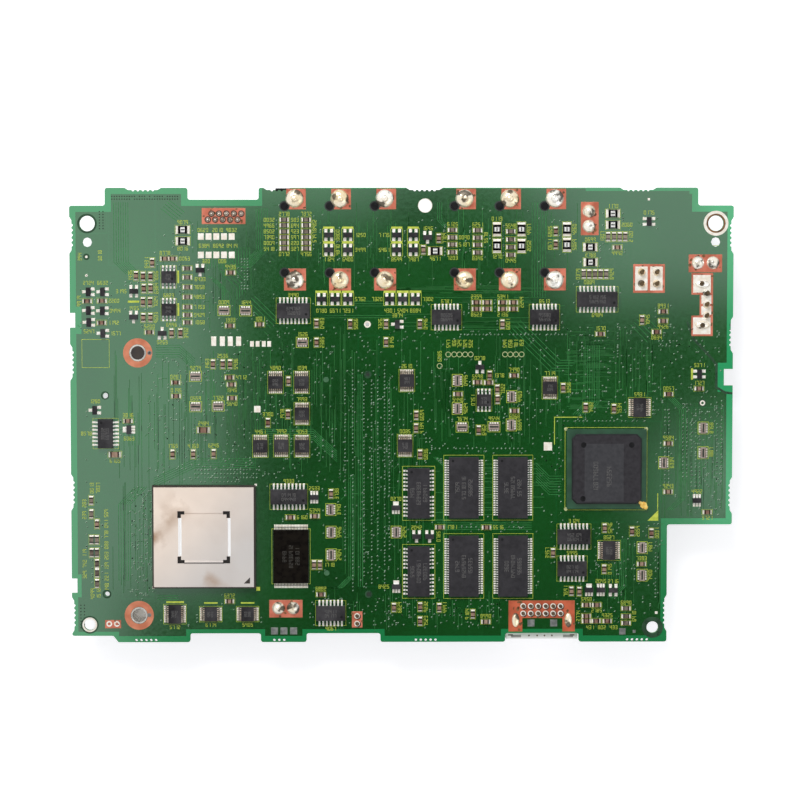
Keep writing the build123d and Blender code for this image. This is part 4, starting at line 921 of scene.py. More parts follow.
# Test points and small pads
testSpots = [(x, 20.8) for x in testColumns] + [(12.8, 16.9)]
testRings = [dot(x, y, 0.95, 0, 0.02) for x, y in testSpots]
scatter("test_rings", modelRing(0.78, 16), testRings, "ringInk")
maskedPads = [dot(x, y, 0.95) for x, y in ((-25.6, 12.3), (-25.5, -53.4))]
stamp("masked_pads", modelDisc(16), maskedPads, "maskedPad")
coveredHoles = [dot(-11.3, -60.7, 0.78, 0, 0.02), dot(-11.5, 14.0, 0.58, 0, 0.02)]
stamp("covered_holes", modelDisc(14), coveredHoles, "hollow")
stamp("test_pads", modelDisc(12), [dot(-106.3, y, 0.45) for y in (53.8, 47.5)], "padTin")
print("copper, pads and rings laid")

# Printed boxes, bars and marks
chipBox = {"side": 0.3, "leads": 3.3, "driver columns": (80.5, 70.3, -77.1), "driver row": -67.4}
memoryBox = {"long": 3.4, "wide": 1.2, "line": 0.13}


def leadsAcross(node, x, y, length, width):
    # whether the leads stand on a chip's left and right; the square drivers go by their place
    if node == "driver_chip_bodies":
        columns = [abs(x - column) < 1 for column in chipBox["driver columns"]]
        return any(columns) or abs(y - chipBox["driver row"]) < 1
    return length < width


bodyAreas = []
for node in ("logic_chip_bodies", "small_chip_bodies", "driver_chip_bodies"):
    for x, y, length, width, top in plans(node):
        if leadsAcross(node, x, y, length, width):
            printed = (length + chipBox["leads"], width + chipBox["side"])
        else:
            printed = (length + chipBox["side"], width + chipBox["leads"])
        boxSpots += outlineMarks(x, y, *printed, 0.1)
        bodyAreas.append((x, y, *printed))
        tagged.append((x, y, *printed))
for x, y, length, width, top in plans("memory_chip_bodies", "buffer_memory_bodies"):
    printed = (length + memoryBox["long"], width + memoryBox["wide"])
    boxSpots += outlineMarks(x, y, *printed, memoryBox["line"])
    bodyAreas.append((x, y, printed[0] + 0.2, printed[1] + 0.4))
for x, y, length, width, top in plans("flash_chip_body"):
    boxSpots += outlineMarks(x, y, length + 0.8, width + 0.4, 0.14)
    bodyAreas.append((x, y, length + 0.8, width + 3.2))
for x, y, length, width, top in plans("transistor_bodies"):
    tagged.append((x, y, 4.0, 4.0))
    betweenFuses = y > 38 and -30 < x < 8
    if betweenFuses:
        boxSpots += outlineMarks(x, y, 4.0, 4.2, 0.14)
boxSpots += outlineMarks(69.2, -18.0, 27.8, 28.0, 0.16)
boxSpots += outlineMarks(-103.4, 21.2, 9.2, 9.5, 0.12)
boxSpots += route([(61.0, -0.5), (51.7, -0.5), (51.7, -9.7)], 0.25)
boxSpots += route([(86.8, -26.5), (86.8, -32.0)], 0.25)
barAreas = [(x, y + 2.45, 3.8, 0.75) for x in transistorColumns for y in (61.1, 56.1)]
barAreas += [(x, 42.0, 4.0, 0.75) for x in capacitorColumns]
barAreas += [(-90.5, 38.7, 3.8, 0.7), (98.2, 14.1, 0.7, 3.8)]
barAreas += [(-75.4, 47.0, 0.6, 4.2), (-75.4, 36.0, 0.6, 4.2)]
barAreas += [(-77.0, -63.3, 6.0, 0.6), (-64.9, -63.6, 4.6, 0.5), (-52.4, -63.6, 4.6, 0.5)]
barAreas += [(-48.8, -58.8, 1.3, 1.3)]
stamp("printed_boxes", modelTile(0.1), boxSpots, "silkscreen")
stamp("printed_bars", modelTile(0.05), [mark(*bar) for bar in barAreas], "silkscreen")


def modelCorner():
    # a printed right-angled triangle, one unit along its short sides
    deselectAll()
    bpy.ops.mesh.primitive_cylinder_add(vertices=3, radius=1, depth=1, location=(0, 0, 0.5))
    corner = bpy.context.object
    bpy.ops.object.transform_apply(location=True, rotation=False, scale=False)
    ends = ((0, 0), (1, 0), (0, 1))
    for point in corner.data.vertices:
        turn = math.atan2(point.co.x, point.co.y) % math.tau
        point.co.x, point.co.y = ends[round(turn / (math.tau / 3)) % 3]
    bpy.ops.object.mode_set(mode="EDIT")
    bpy.ops.mesh.select_all(action="SELECT")
    bpy.ops.mesh.normals_make_consistent(inside=False)
    bpy.ops.object.mode_set(mode="OBJECT")
    return corner


lidRise = rise("controller_lid")
processorRise = rise("processor_moulding")
stamp("processor_corner_mark", modelCorner(), [mark(87.0, -35.7, 3.6, 3.6, 90)], "silkscreen")
lidCorner = mark(-51.4, -56.6, 2.1, 2.1, 90, lidRise, 0.01)
stamp("lid_corner_mark", modelCorner(), [lidCorner], "darkLaminate")
gateSpots = [dot(81.9, -30.3, 1.2, 1.12, 0.02)]
gateSpots += [dot(80.8, -29.5, 0.6, 1.13, 0.02), dot(82.6, -31.0, 0.8, 1.13, 0.02)]
stamp("processor_gate", modelDisc(9), gateSpots, "gold")
labelPatch = mark(68.4, -19.2, 13.2, 19.6, 0, processorRise, 0.01)
stamp("processor_label", modelTile(0.1), [labelPatch], "processorLabel")
cornerSpots = [dot(x, y, 0.62, 0.02, 0.02) for x, y in ((55.6, -4.5), (82.8, -4.5), (55.6, -31.7))]
stamp("processor_corner_dots", modelDisc(14), cornerSpots, "ringInk")
mouldSpots = ((61.5, -9.8), (77.7, -9.8), (61.3, -28.0))
mouldMarks = [dot(x, y, 0.95, processorRise, 0.01) for x, y in mouldSpots]
stamp("processor_mould_marks", modelDisc(20), mouldMarks, "basePlastic")
print("boxes and bars printed")


# Numbers beside the parts, wherever there is room for one
def clash(box, others, gap=0.15):
    for other in others:
        nearX = abs(box[0] - other[0]) < (box[2] + other[2]) / 2 + gap
        nearY = abs(box[1] - other[1]) < (box[3] + other[3]) / 2 + gap
        if nearX and nearY:
            return True
    return False


def wellInside(x, y):
    # far enough from the board's edges for print and vias
    return abs(x) < 109 and abs(y) < 74


packageAreas = [(-67.0, -40.9, 35.4, 35.4), (69.35, -18.0, 28.2, 28.4)]
crowd = tagged + copperAreas + plateAreas + ringAreas + bodyAreas + packageAreas + barAreas
crowd += [(-11.6, 31.0, 2.5, 2.5), (-103.4, 21.2, 9.6, 9.9), (8.0, 70.9, 12.4, 7.0)]
crowd += [(19.5, 20.8, 9.6, 2.0), (37.7, 20.8, 7.6, 2.0)]
label = {"tall": 1.15, "stroke": 0.155, "far": 0.35, "long part": 3.4}


def printLabel(x, y, count, turn=0):
    return number(x, y, count, label["tall"], turn, label["stroke"])


def labelBeside(x, y, length, width, count):
    # a number in the first free place: flat over, under or beside a part, or upright beside a narrow one
    long = count * label["tall"] * figureStep
    tall = label["tall"] + 0.2
    right = x + length / 2 + label["far"]
    left = x - length / 2 - label["far"]
    top = y + width / 2 + label["far"]
    low = y - width / 2 - label["far"]
    over = [(x, top + tall / 2, long, tall), (x, low - tall / 2, long, tall)]
    beside = [(right + long / 2, y, long, tall), (left - long / 2, y, long, tall)]
    upright = [(right + tall / 2, y, tall, long), (left - tall / 2, y, tall, long)]
    flatFirst = length >= width or (y < 16 and (x < -40 or max(length, width) > 5))
    places = over + beside + upright if flatFirst else upright + beside + over
    for box in places:
        if wellInside(box[0], box[1]) and not clash(box, crowd):
            crowd.append(box)
            return printLabel(box[0], box[1], count, 0 if box[2] > box[3] else 90)
    return []


labelSpots = []
handLabels = {
    "left of the resistor columns": [(-44.7, 66.2 - 1.95 * index, 4) for index in range(6)],
    "between the columns": [(-36.0, 66.2 - 1.95 * index, 3) for index in range(6)],
    "under the transistors": [(x, 52.9, 4) for x in transistorColumns],
    "under the link row": [(x, 52.3, 3) for x in (-66.0, -60.5)],
    "over the link row": [(x, 62.8, 4) for x in (-67.0, -62.0, -57.4)],
    "within the link row": [(x, 57.5, 4) for x in (-66.6, -61.8, -57.2)],
    "row under the pair of chips": [(x, 35.6, 4) for x in capacitorColumns],
    "block beside the fuse joint": [(x, y, 3) for x in (70.6, 73.9, 77.2) for y in (60.9, 58.9)],
    "foot of the board": [(64.0 + 4 * index, -72.1, 3) for index in range(3)],
}
for group in handLabels.values():
    for x, y, count in group:
        box = (x, y, count * label["tall"] * figureStep, label["tall"])
        if not clash(box, crowd, 0.05):
            crowd.append(box)
            labelSpots += printLabel(x, y, count)
for x, y, length, width in tagged:
    lowerLeft = x <= -98 and y <= -22
    if not lowerLeft:
        count = 4 if max(length, width) > label["long part"] else 3
        labelSpots += labelBeside(x, y, length, width, count)
uprightRows = [(-107.6, y, 3) for y in (-29.6, -33.6, -46.5, -50.2, -53.9)]
uprightRows += [(-108.5, 53.8, 3), (-101.7, 54.2, 4), (12.8, 20.2, 4)]
uprightRows += [(x, 24.4, 3) for x in testColumns]
uprightRows += [(-100.2, -33.0 - 3.6 * index, 3) for index in range(8)]
uprightRows += [(x, y, 4) for x in (-105.0, -102.9) for y in (-24.4, -60.4)]
for x, y, count in uprightRows:
    labelSpots += printLabel(x, y, count, 90)
stamp("printed_numbers", modelTile(0.1), labelSpots, "silkscreen")
print("numbers printed:", len(labelSpots))


# Faint marks on the chips: plain figures
def memoryMarks(node):
    # three rows of figures across each memory
    spots = []
    for x, y, length, width, top in plans(node):
        for index, count in enumerate((4, 8, 6)):
            spots += number(x - 2.2 + 2.2 * index, y, count, 1.2, 90, 0.16, top)
    return spots


chipMarks = []
for node, size in (("logic_chip_bodies", 1.0), ("small_chip_bodies", 0.8), ("driver_chip_bodies", 0.8)):
    for x, y, length, width, top in plans(node):
        tall = length < width
        count = int(max(length, width) * 0.55 / size)
        for row in (-0.5, 0.5):
            shift = row * size * 1.5
            place = (x + shift, y) if tall else (x, y + shift)
            chipMarks += number(*place, count, size, 90 if tall else 0, 0.14, top)
chipMarks += memoryMarks("memory_chip_bodies")
chipMarks += memoryMarks("buffer_memory_bodies")
flashMarks = memoryMarks("flash_chip_body")
for index, count in enumerate((9, 6)):
    chipMarks += number(65.6 + 4.5 * index, -20.5, count, 1.4, 90, 0.18, processorRise + 0.01)
stamp("chip_marks", modelTile(0.1), chipMarks, "paleInk")
stamp("flash_marks", modelTile(0.1), flashMarks, "faintInk")
stamp("chip_stripes", modelTile(0.1), stripeSpots, "whiteInk")
stamp("network_grooves", modelTile(0.1), grooveSpots, "hollow")

# Pin-one dimples, as dark rounds in the mouldings
dimples = []
for node in ("logic_chip_bodies", "small_chip_bodies", "buffer_memory_bodies", "memory_chip_bodies"):
    for box in solidBoxes(node):
        length, width = spans(box)
        if length > width:
            dimples.append(dot(box[2] - 1.3, box[1] + 1.5, 0.45, box[4], 0.01))
        else:
            dimples.append(dot(box[0] + 1.4, box[3] - 1.3, 0.45, box[4], 0.01))
stamp("pin_one_dimples", modelDisc(14), dimples, "basePlastic")
print("chips marked")

# Through holes of the layers, in rows, clusters and at the parts' pads: middle of each
via = {"radius": 0.27, "hole": 0.2, "room": 0.6, "grid": 0.635}
centreColumns = (-16.6, -12.8, -10.2, -5.8)
viaRows = {
    "centre columns": [(x, 15.5 - 1.27 * step) for x in centreColumns for step in range(60)],
    "right columns": [(x, 4 - 1.3 * step) for x in (95.3, 96.6) for step in range(20)],
    "right edge columns": [(x, 5 - 1.3 * step) for x in (106.8, 108.3) for step in range(22)],
    "processor column": [(73.0, 31 - 1.0 * step) for step in range(12)],
    "lower right column": [(86.2, -43 - 1.25 * step) for step in range(16)],
    "row under the driver": [(10 + 1.4 * step, -11.1) for step in range(24)],
    "row over the lid": [(-68 + 1.3 * step, -22.3) for step in range(11)],
    "left edge": [
        (-106.3, 53.8), (-106.3, 47.5), (-106.8, -14.7), (-106.8, -22.3), (-106.6, -30), (-106.6, -37.6),
    ],
    "beside the lid": [(-88 + random.uniform(0, 3.6), -58 + 1.9 * step) for step in range(18)],
    "link cluster": [(-54 + 1.0 * column, 43 + 1.0 * step) for column in range(3) for step in range(11)],
    "processor rim": [(55 + 1.3 * step, -1.8) for step in range(22)],
    "memory row": [(14 + 1.6 * step, -37.8) for step in range(18)],
    "upper row": [(20 + 1.27 * step, 27.5) for step in range(30)],
    "rows over the lid": [(-70 + 1.1 * step, y) for step in range(20) for y in (-18.2, -19.6, -20.9)],
    "right field": [(x, 2 - 1.3 * step) for x in (89.2, 90.5, 98.2, 99.6, 100.9) for step in range(22)],
    "middle field": [(x, 12 - 1.3 * step) for x in (-19.2, -8.1, -4.2) for step in range(48)],
    "over the processor": [(87.0 + 1.2 * step, y) for step in range(6) for y in (25.3, 23.6)],
}
vias = [spot for group in viaRows.values() for spot in group if random.random() > 0.12]
for x, y, length, width in tagged:
    for corner in range(3):
        sideX = random.choice((-1, 1)) * (length / 2 + 0.8)
        sideY = random.uniform(-1, 1) * (width / 2 + 1.2)
        vias.append((x + sideX, y + sideY))

# Fields with vias on a fine grid: left, low, right, high and how many
fields = {
    "middle": (-20, -20, 55, 30, 430), "upper left": (-84, 25, -60, 64, 60),
    "left": (-86, -22, -54, 20, 230), "lower middle": (-22, -70, 60, -14, 330),
    "right": (56, -2, 108, 30, 260), "lower right": (60, -70, 88, -36, 130),
    "left foot": (-92, -62, -84, -24, 130), "middle left": (-58, -24, -22, 30, 290),
    "top": (-50, 44, 60, 72, 60), "foot": (-32, -72, 34, -62, 150), "right edge": (98, -34, 109, 4, 110),
}
for left, low, right, high, count in fields.values():
    for index in range(count):
        gridX = round(random.uniform(left, right) / via["grid"]) * via["grid"]
        gridY = round(random.uniform(low, high) / via["grid"]) * via["grid"]
        vias.append((gridX, gridY))
clear = []
for x, y in vias:
    if wellInside(x, y) and not clash((x, y, via["room"], via["room"]), crowd, 0.05):
        clear.append((x, y))
stamp("vias", modelDisc(6, 0.9), [dot(x, y, via["radius"], 0, 0.02) for x, y in clear], "via")
# painted shade: a dark disc a little off each via's middle stands for its hole
viaHoleShades = [dot(x + 0.08, y - 0.08, via["hole"], 0.02, 0.01) for x, y in clear]
stamp("via_hole_shades", modelDisc(5, 0.9), viaHoleShades, "hollow")
tented = [(-97.6 + 0.85 * step, 74.1 - 0.9 * row) for step in range(27) for row in range(2)]
tented = [spot for spot in tented if random.random() > 0.25]
tented += [(x, 69 - 0.95 * step) for x in (-100.6, -101.8) for step in range(7)]
tented += [(x, -72 + 1.1 * step) for x in (-109.0, -107.8) for step in range(8)]
stamp("tented_holes", modelDisc(6, 0.9), [dot(x, y, 0.24, 0, 0.01) for x, y in tented], "hollow")
print("vias drilled:", len(clear))

# Tracks that run side by side: how many, the step from one to the next, and the path of the first
bundles = {
    "to the link row": (5, (-0.9, -0.9), [(-57.5, 52.5), (-52.0, 46.8), (-52.0, 43)]),
    "from the left parts": (4, (0.8, -0.3), [(-65.2, 47.3), (-60.6, 42.6), (-60.6, 37.8)]),
    "to the logic chip": (4, (-0.9, -0.9), [(-49.9, 40.8), (-41.6, 32.6)]),
    "left fan": (6, (0.75, 0), [(-55.0, 50.0), (-49.0, 56.0), (-49.0, 70.0)]),
    "centre right": (5, (0.9, 0.9), [(36.5, 28.6), (50.0, 15.2), (56.0, 15.2)]),
    "right of the socket": (5, (1.0, 1.0), [(77.5, 30.6), (83.0, 25.0)]),
    "beside the lid": (6, (-0.8, 0), [(-86.4, -24.0), (-92.0, -30.0), (-92.0, -56.0)]),
    "over the lid": (5, (0, -0.75), [(-84.0, -21.0), (-70.0, -14.5), (-50.0, -14.5)]),
    "under the drivers": (6, (0, -0.7), [(-48.0, -4.5), (-30.0, -4.5), (-22.0, -12.0)]),
    "up the middle": (3, (0.7, 0), [(-14.8, 14), (-14.8, -58)]),
    "between the memories": (3, (0.55, 0), [(10.8, -14.0), (14.0, -17.0), (14.0, -60.0)]),
    "across the memories": (5, (0, -0.62), [(12.0, -36.2), (44.0, -36.2)]),
    "to the processor": (8, (0, -0.9), [(45.5, -16.0), (50.0, -20.5), (54.0, -20.5)]),
    "over the processor": (7, (0.8, 0), [(58.0, 0.5), (62.0, 4.5), (62.0, 24.0)]),
    "down the right": (4, (0.7, 0), [(90.0, -32.0), (94.0, -28.0), (94.0, 2.0), (90.0, 6.0)]),
    "upper left": (7, (0.8, 0), [(-97.0, 72.0), (-97.0, 52.0), (-93.0, 48.0)]),
    "top left": (5, (0.7, 0.7), [(-81.0, 70.0), (-76.0, 66.0)]),
    "left middle": (6, (0, 0.8), [(-83.0, 20.0), (-75.0, 20.0), (-70.0, 15.5)]),
    "lower left": (3, (0, -0.7), [(-83.0, -61.0), (-76.0, -61.0)]),
    "lower middle": (4, (0.6, 0), [(-30.0, -58.5), (-22.0, -58.5), (-18.0, -54.5), (-18.0, -20.0)]),
    "lower right": (4, (0.7, 0), [(62.0, -62.0), (70.0, -62.0), (74.0, -58.0), (74.0, -42.0)]),
    "top middle": (3, (-0.7, 0), [(13.5, 72.0), (13.5, 66.0), (16.0, 63.5)]),
    "comb over the chip": (16, (0.95, 0), [(-65.5, 50.0), (-65.5, 57.0)]),
    "comb to the right": (6, (0.9, 0), [(44.0, 40.0), (44.0, 72.0)]),
}
trackSpots = []
for count, step, path in bundles.values():
    for index in range(count):
        points = [(x + step[0] * index, y + step[1] * index) for x, y in path]
        trackSpots += route(points, 0.17, 0.012)
stamp("tracks", modelTile(0.2), trackSpots, "tracks")

# Finer tracks that show faintly: their field, the way they run, how many, and the shortest and longest
combs = {
    "centre": ((-21, -60, 10, 32), "y", 70, (8, 34)),
    "under the fuses": ((-30, 29, 56, 44), "x", 42, (8, 30)),
    "over the processor": ((55, 2, 72, 30), "x", 46, (4, 14)),
    "right": ((88, -35, 109, 6), "y", 60, (6, 28)),
    "memories": ((10, -38, 52, -14), "x", 24, (6, 30)),
    "foot": ((-30, -74, 34, -58), "y", 46, (3, 9)),
    "left": ((-98, -26, -56, 24), "y", 76, (6, 30)),
    "beside the lid": ((-98, -62, -85, -22), "y", 26, (8, 30)),
    "lower right": ((60, -72, 88, -37), "y", 34, (4, 18)),
    "top": ((-56, 42, 60, 73), "y", 70, (4, 16)),
    "upper left": ((-84, 26, -50, 66), "y", 34, (5, 18)),
    "drivers": ((-56, -19, -21, 26), "y", 60, (6, 26)),
    "right of the middle": ((10, -12, 54, 28), "y", 60, (5, 22)),
    "over the processor, upwards": ((55, 1, 88, 30), "y", 40, (5, 18)),
}
faintSpots = []
trackGrid = 0.4
for (left, low, right, high), along, count, lengths in combs.values():
    for index in range(count):
        long = random.uniform(*lengths)
        if along == "y":
            x = round(random.uniform(left, right) / trackGrid) * trackGrid
            y = random.uniform(low, high - long)
            if not clash((x, y + long / 2, 0.2, long), ringAreas):
                faintSpots += route([(x, y), (x, y + long)], 0.16, 0.01)
        else:
            y = round(random.uniform(low, high) / trackGrid) * trackGrid
            x = random.uniform(left, right - long)
            if not clash((x + long / 2, y, long, 0.2), ringAreas):
                faintSpots += route([(x, y), (x + long, y)], 0.16, 0.01)

# Short tracks that leave the vias
spur = {"count": 500, "long": (0.7, 2.0), "turns": (0, 90, 135, 180, 225, 270)}
for x, y in random.sample(clear, min(spur["count"], len(clear))):
    long = random.uniform(*spur["long"])
    turn = random.choice(spur["turns"])
    end = (x + long * math.cos(math.radians(turn)), y + long * math.sin(math.radians(turn)))
    faintSpots += route([(x, y), end], 0.16, 0.012)
stamp("faint_tracks", modelTile(0.2), faintSpots, "faintTracks")
pourGroove = [(96.6, 31.5), (98.6, 26.0), (104.6, 19.6), (106.4, 17.4), (106.4, 9.6)]
pourGroove += [(109.5, 7.8), (111.5, 7.6)]
stamp("pour_groove", modelTile(0.2), route(pourGroove, 0.8, 0.015), "darkRing")
print("tracks routed:", len(trackSpots) + len(faintSpots))


# The lower side: the same holes, and a printed box round each part that stands there
def markBelow(x, y, length, width, thick=0.02):
    turned = Matrix.Translation((mm(x), mm(y), boardBottom)) @ Matrix.Rotation(math.pi, 4, "X")
    return turned @ Matrix.Diagonal((mm(length), mm(width), mm(thick), 1))


lowerParts = {
    "left_fuse_bases": 0.5, "right_fuse_bases": 0.5, "can_capacitors": 0.8, "zigzag_header_shell": 0.6,
    "pair_header_body": 0.6, "power_socket_shell": 0.6, "signal_connector_housing": 0.6,
}
lowerBoxes = []
lowerAreas = []
for node, grow in lowerParts.items():
    for x, y, length, width, height in plans(node):
        lowerAreas.append((x, y, length + 2 * grow + 1, width + 2 * grow + 1))
        top = min(y + width / 2 + grow, 76.2)
        low = max(y - width / 2 - grow, -73.2)
        for level in (low, top):
            lowerBoxes.append(markBelow(x, level, length + 2 * grow, 0.16))
        for side in (-1, 1):
            lowerBoxes.append(markBelow(x + side * (length / 2 + grow), (low + top) / 2, 0.16, top - low))
stamp("lower_printed_boxes", modelTile(0.1), lowerBoxes, "silkscreen")
lowerAreas += [(*hole, 12, 12) for hole in groundHoles] + [(102, 38, 20, 22)]
lowerVias = [(x, y) for x, y in clear if not clash((x, y, via["room"], via["room"]), lowerAreas)]
lowerRings = [markBelow(x, y, via["radius"], via["radius"]) for x, y in lowerVias]
stamp("lower_vias", modelDisc(6, 0.9), lowerRings, "via")
lowerTrack = {"count": 260, "long": (3, 14), "right": 86, "top": 44}
lowerTracks = []
for x, y in random.sample(lowerVias, min(lowerTrack["count"], len(lowerVias))):
    long = random.uniform(*lowerTrack["long"])
    flat = random.random() > 0.5
    endX, endY = (x + long, y) if flat else (x, y + long)
    across = ((x + endX) / 2, (y + endY) / 2, long if flat else 0.2, 0.2 if flat else long)
    onTheBoard = endX < lowerTrack["right"] and endY < lowerTrack["top"]
    if onTheBoard and not clash(across, lowerAreas):
        lowerTracks.append(markBelow(*across, 0.01))
stamp("lower_tracks", modelTile(0.2), lowerTracks, "tracks")
print("lower side printed")


# Solder joints: domes with the pin's end showing through
def modelJoint(radius, steps, sides):
    # a round joint raised in steps of (radius, height), in millimetres
    width, height = steps[0]
    deselectAll()
    bpy.ops.mesh.primitive_cylinder_add(
        vertices=sides, radius=mm(radius), depth=mm(height), location=(0, 0, mm(height) / 2)
    )
    joint = bpy.context.object
    bpy.ops.object.transform_apply(location=True, rotation=False, scale=False)
    editTop(joint, 0)
    bpy.ops.transform.resize(value=(width / radius, width / radius, 1))
    for nextWidth, nextHeight in steps[1:]:
        lift = (0, 0, mm(nextHeight - height))
        bpy.ops.mesh.extrude_region_move(TRANSFORM_OT_translate={"value": lift})
        bpy.ops.transform.resize(value=(nextWidth / width, nextWidth / width, 1))
        width, height = nextWidth, nextHeight
    bpy.ops.object.mode_set(mode="OBJECT")
    bpy.ops.object.shade_smooth_by_angle(angle=math.radians(50))
    return joint


def solderOver(name, sizes, spots):
    # each joint is a little different, as hand soldering is
    shape = modelJoint(sizes["radius"], sizes["steps"], sizes["sides"])
    joints = []
    for x, y in spots:
        joint = shape.copy()
        joint.data = shape.data.copy()
        bpy.context.collection.objects.link(joint)
        shift = Vector((x, y, 0))
        for point in joint.data.vertices:
            if point.co.z > mm(0.05):
                push = noise.noise_vector(point.co * 900 / sizes["radius"] + shift) * mm(sizes["lump"])
                point.co += Vector((push.x, push.y, push.z * 0.6))
        joint.data.transform(spotAt(x, y, 0, random.uniform(0, 360)))
        joints.append(joint)
    bpy.data.objects.remove(shape)
    return joinPieces(name, joints, sizes["finish"], [sizes["node"]])


def centres(name):
    return [middle(box) for box in solidBoxes(name)]


# Which joints of the board each set stands over, and its shape in millimetres, from foot to pin
pinSteps = ((0.6, 0.1), (0.5, 0.35), (0.4, 0.65), (0.32, 0.9), (0.28, 1.3))
jointSets = {
    "fuse_joints": {
        "node": "heavy_solder_joints", "radius": 3.1, "lump": 0.28, "sides": 28, "finish": "domeSolder",
        "steps": (
            (3.0, 0.25), (2.75, 0.7), (2.3, 1.1), (1.7, 1.35), (1.1, 1.5), (0.85, 1.45), (0.8, 1.95),
            (0.5, 2.1),
        ),
    },
    "capacitor_joints": {
        "node": "can_solder_joints", "radius": 2.2, "lump": 0.2, "sides": 24, "finish": "domeSolder",
        "steps": ((2.1, 0.2), (1.8, 0.6), (1.3, 1.05), (0.8, 1.35), (0.45, 1.5), (0.4, 1.7)),
    },
    "zigzag_joints": {
        "node": "header_solder_joints", "radius": 0.75, "lump": 0.08, "sides": 12, "finish": "solder",
        "steps": pinSteps,
    },
    # the header's joints take the dark pin-end finish: painted shade for the hollow round each pin
    "header_joints": {
        "node": "header_solder_joints", "radius": 0.75, "lump": 0.08, "sides": 12, "finish": "pinEnd",
        "steps": pinSteps,
    },
    "power_joints": {
        "node": "supply_solder_joints", "radius": 1.3, "lump": 0.14, "sides": 16, "finish": "domeSolder",
        "steps": ((1.25, 0.15), (1.05, 0.5), (0.75, 0.85), (0.5, 1.05), (0.45, 1.4)),
    },
}
for name, sizes in jointSets.items():
    spots = centres(sizes["node"])
    if name == "zigzag_joints":
        spots = [(x, y) for x, y in spots if y > 0]
    elif name == "header_joints":
        spots = [(x, y) for x, y in spots if y < 0]
    solderOver(name, sizes, spots)
pinEnds = [dot(x, y, 0.8, 1.38, 0.08) for x, y in centres("supply_solder_joints")]
pinEnds += [dot(x + 0.45, y + 0.5, 0.5, 1.1, 0.2) for x, y in centres("supply_solder_joints")]
pinEnds += [dot(101.3, 44.7, 0.9, 0.88, 0.12), dot(101.6, 30.6, 0.9, 0.88, 0.12)]
stamp("pin_ends", modelDisc(10), pinEnds, "pinEnd")


def modelTabJoint():
    # a bead of solder along a flat tab, for a unit length and width
    deselectAll()
    bpy.ops.mesh.primitive_uv_sphere_add(segments=20, ring_count=10, radius=0.5, location=(0, 0, 0))
    bead = bpy.context.object
    bpy.ops.object.mode_set(mode="EDIT")
    bpy.ops.mesh.select_all(action="SELECT")
    bpy.ops.mesh.bisect(plane_co=(0, 0, 0), plane_no=(0, 0, 1), use_fill=True, clear_inner=True)
    bpy.ops.object.mode_set(mode="OBJECT")
    bpy.ops.object.shade_smooth_by_angle(angle=math.radians(60))
    return bead


beadSpots = []
for x, y, length, width, top in plans("tab_solder_joints"):
    beadSpots.append(spotAt(x, y, 0, 0, (mm(length), mm(width), mm(1.9))))
scatter("tab_joints", modelTabJoint(), beadSpots, "domeSolder", ["tab_solder_joints"])
print("through-hole joints soldered")


# Can capacitors and fuses underneath
def modelLathe(profile, sides=48):
    # a round body turned about Z from (radius, height) points in millimetres, closed at both ends
    deselectAll()
    bpy.ops.mesh.primitive_circle_add(vertices=4, radius=mm(1))
    body = bpy.context.object
    bpy.ops.object.mode_set(mode="EDIT")
    bpy.ops.mesh.select_all(action="SELECT")
    bpy.ops.mesh.delete(type="VERT")
    bpy.ops.object.mode_set(mode="OBJECT")
    points = [(0, profile[0][1])] + list(profile) + [(0, profile[-1][1])]
    corners = [(mm(radius), 0, mm(height)) for radius, height in points]
    lines = [(index, index + 1) for index in range(len(points) - 1)]
    body.data.from_pydata(corners, lines, [])
    bpy.ops.object.mode_set(mode="EDIT")
    bpy.ops.mesh.select_all(action="SELECT")
    bpy.ops.mesh.spin(steps=sides, angle=math.tau, center=(0, 0, 0), axis=(0, 0, 1))
    bpy.ops.mesh.select_all(action="SELECT")
    bpy.ops.mesh.remove_doubles(threshold=mm(0.001))
    bpy.ops.mesh.normals_make_consistent(inside=False)
    bpy.ops.object.mode_set(mode="OBJECT")
    bpy.ops.object.shade_smooth_by_angle(angle=math.radians(35))
    return body


canSize = {"radius": 5.0, "height": boardBottom * 1000, "groove": 2.4, "lip": 0.5}
radius, height = canSize["radius"], canSize["height"]
grooveTop = height - canSize["groove"] + 0.9
canProfile = [
    (radius - 1.1, 0.35), (radius - 1.0, 0.1), (radius - 0.6, 0), (radius - 0.2, 0.15),
    (radius, canSize["lip"]), (radius, grooveTop - 1.9), (radius - 0.15, grooveTop - 1.6),
    (radius - 0.4, grooveTop - 0.9),
    (radius - 0.15, grooveTop - 0.2), (radius, grooveTop), (radius, height - 0.3), (radius - 0.2, height),
]
canShape = modelLathe(canProfile)
canSpots = [Matrix.Translation((mm(x), mm(y), 0)) for x, y in centres("can_capacitors")]
scatter("capacitor_cans", canShape, canSpots, "sleeve", ["can_capacitors"])

fuseLow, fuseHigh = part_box("fuse_caps")
fuseAxis = (fuseLow[2] + fuseHigh[2]) / 2
fuseSize = {"radius": 3.1, "length": 31.8, "cap": 6.4}
half = fuseSize["length"] / 2
capStart = half - fuseSize["cap"]
capProfile = [(2.95, capStart), (3.1, capStart + 0.15), (3.1, half - 0.5), (2.8, half - 0.1), (2.3, half)]
tubeProfile = [(2.9, -capStart), (2.9, capStart)]
fuseSpots = []
lying = Matrix.Rotation(math.radians(90), 4, "X")
for x, y in centres("fuse_tubes"):
    fuseSpots.append(Matrix.Translation((mm(x), mm(y), fuseAxis)) @ lying)
flip = Matrix.Rotation(math.pi, 4, "X")
capSpots = fuseSpots + [spot @ flip for spot in fuseSpots]
scatter("fuse_ferrules", modelLathe(capProfile), capSpots, "nickel", ["fuse_caps"])
scatter("fuse_bodies", modelLathe(tubeProfile), fuseSpots, "fuseGlass", ["fuse_tubes"])
print("capacitors and fuses turned")

# Floor, light and background
studio = {"floor": 3.0, "ambient": 0.42, "ceiling": 0.03}


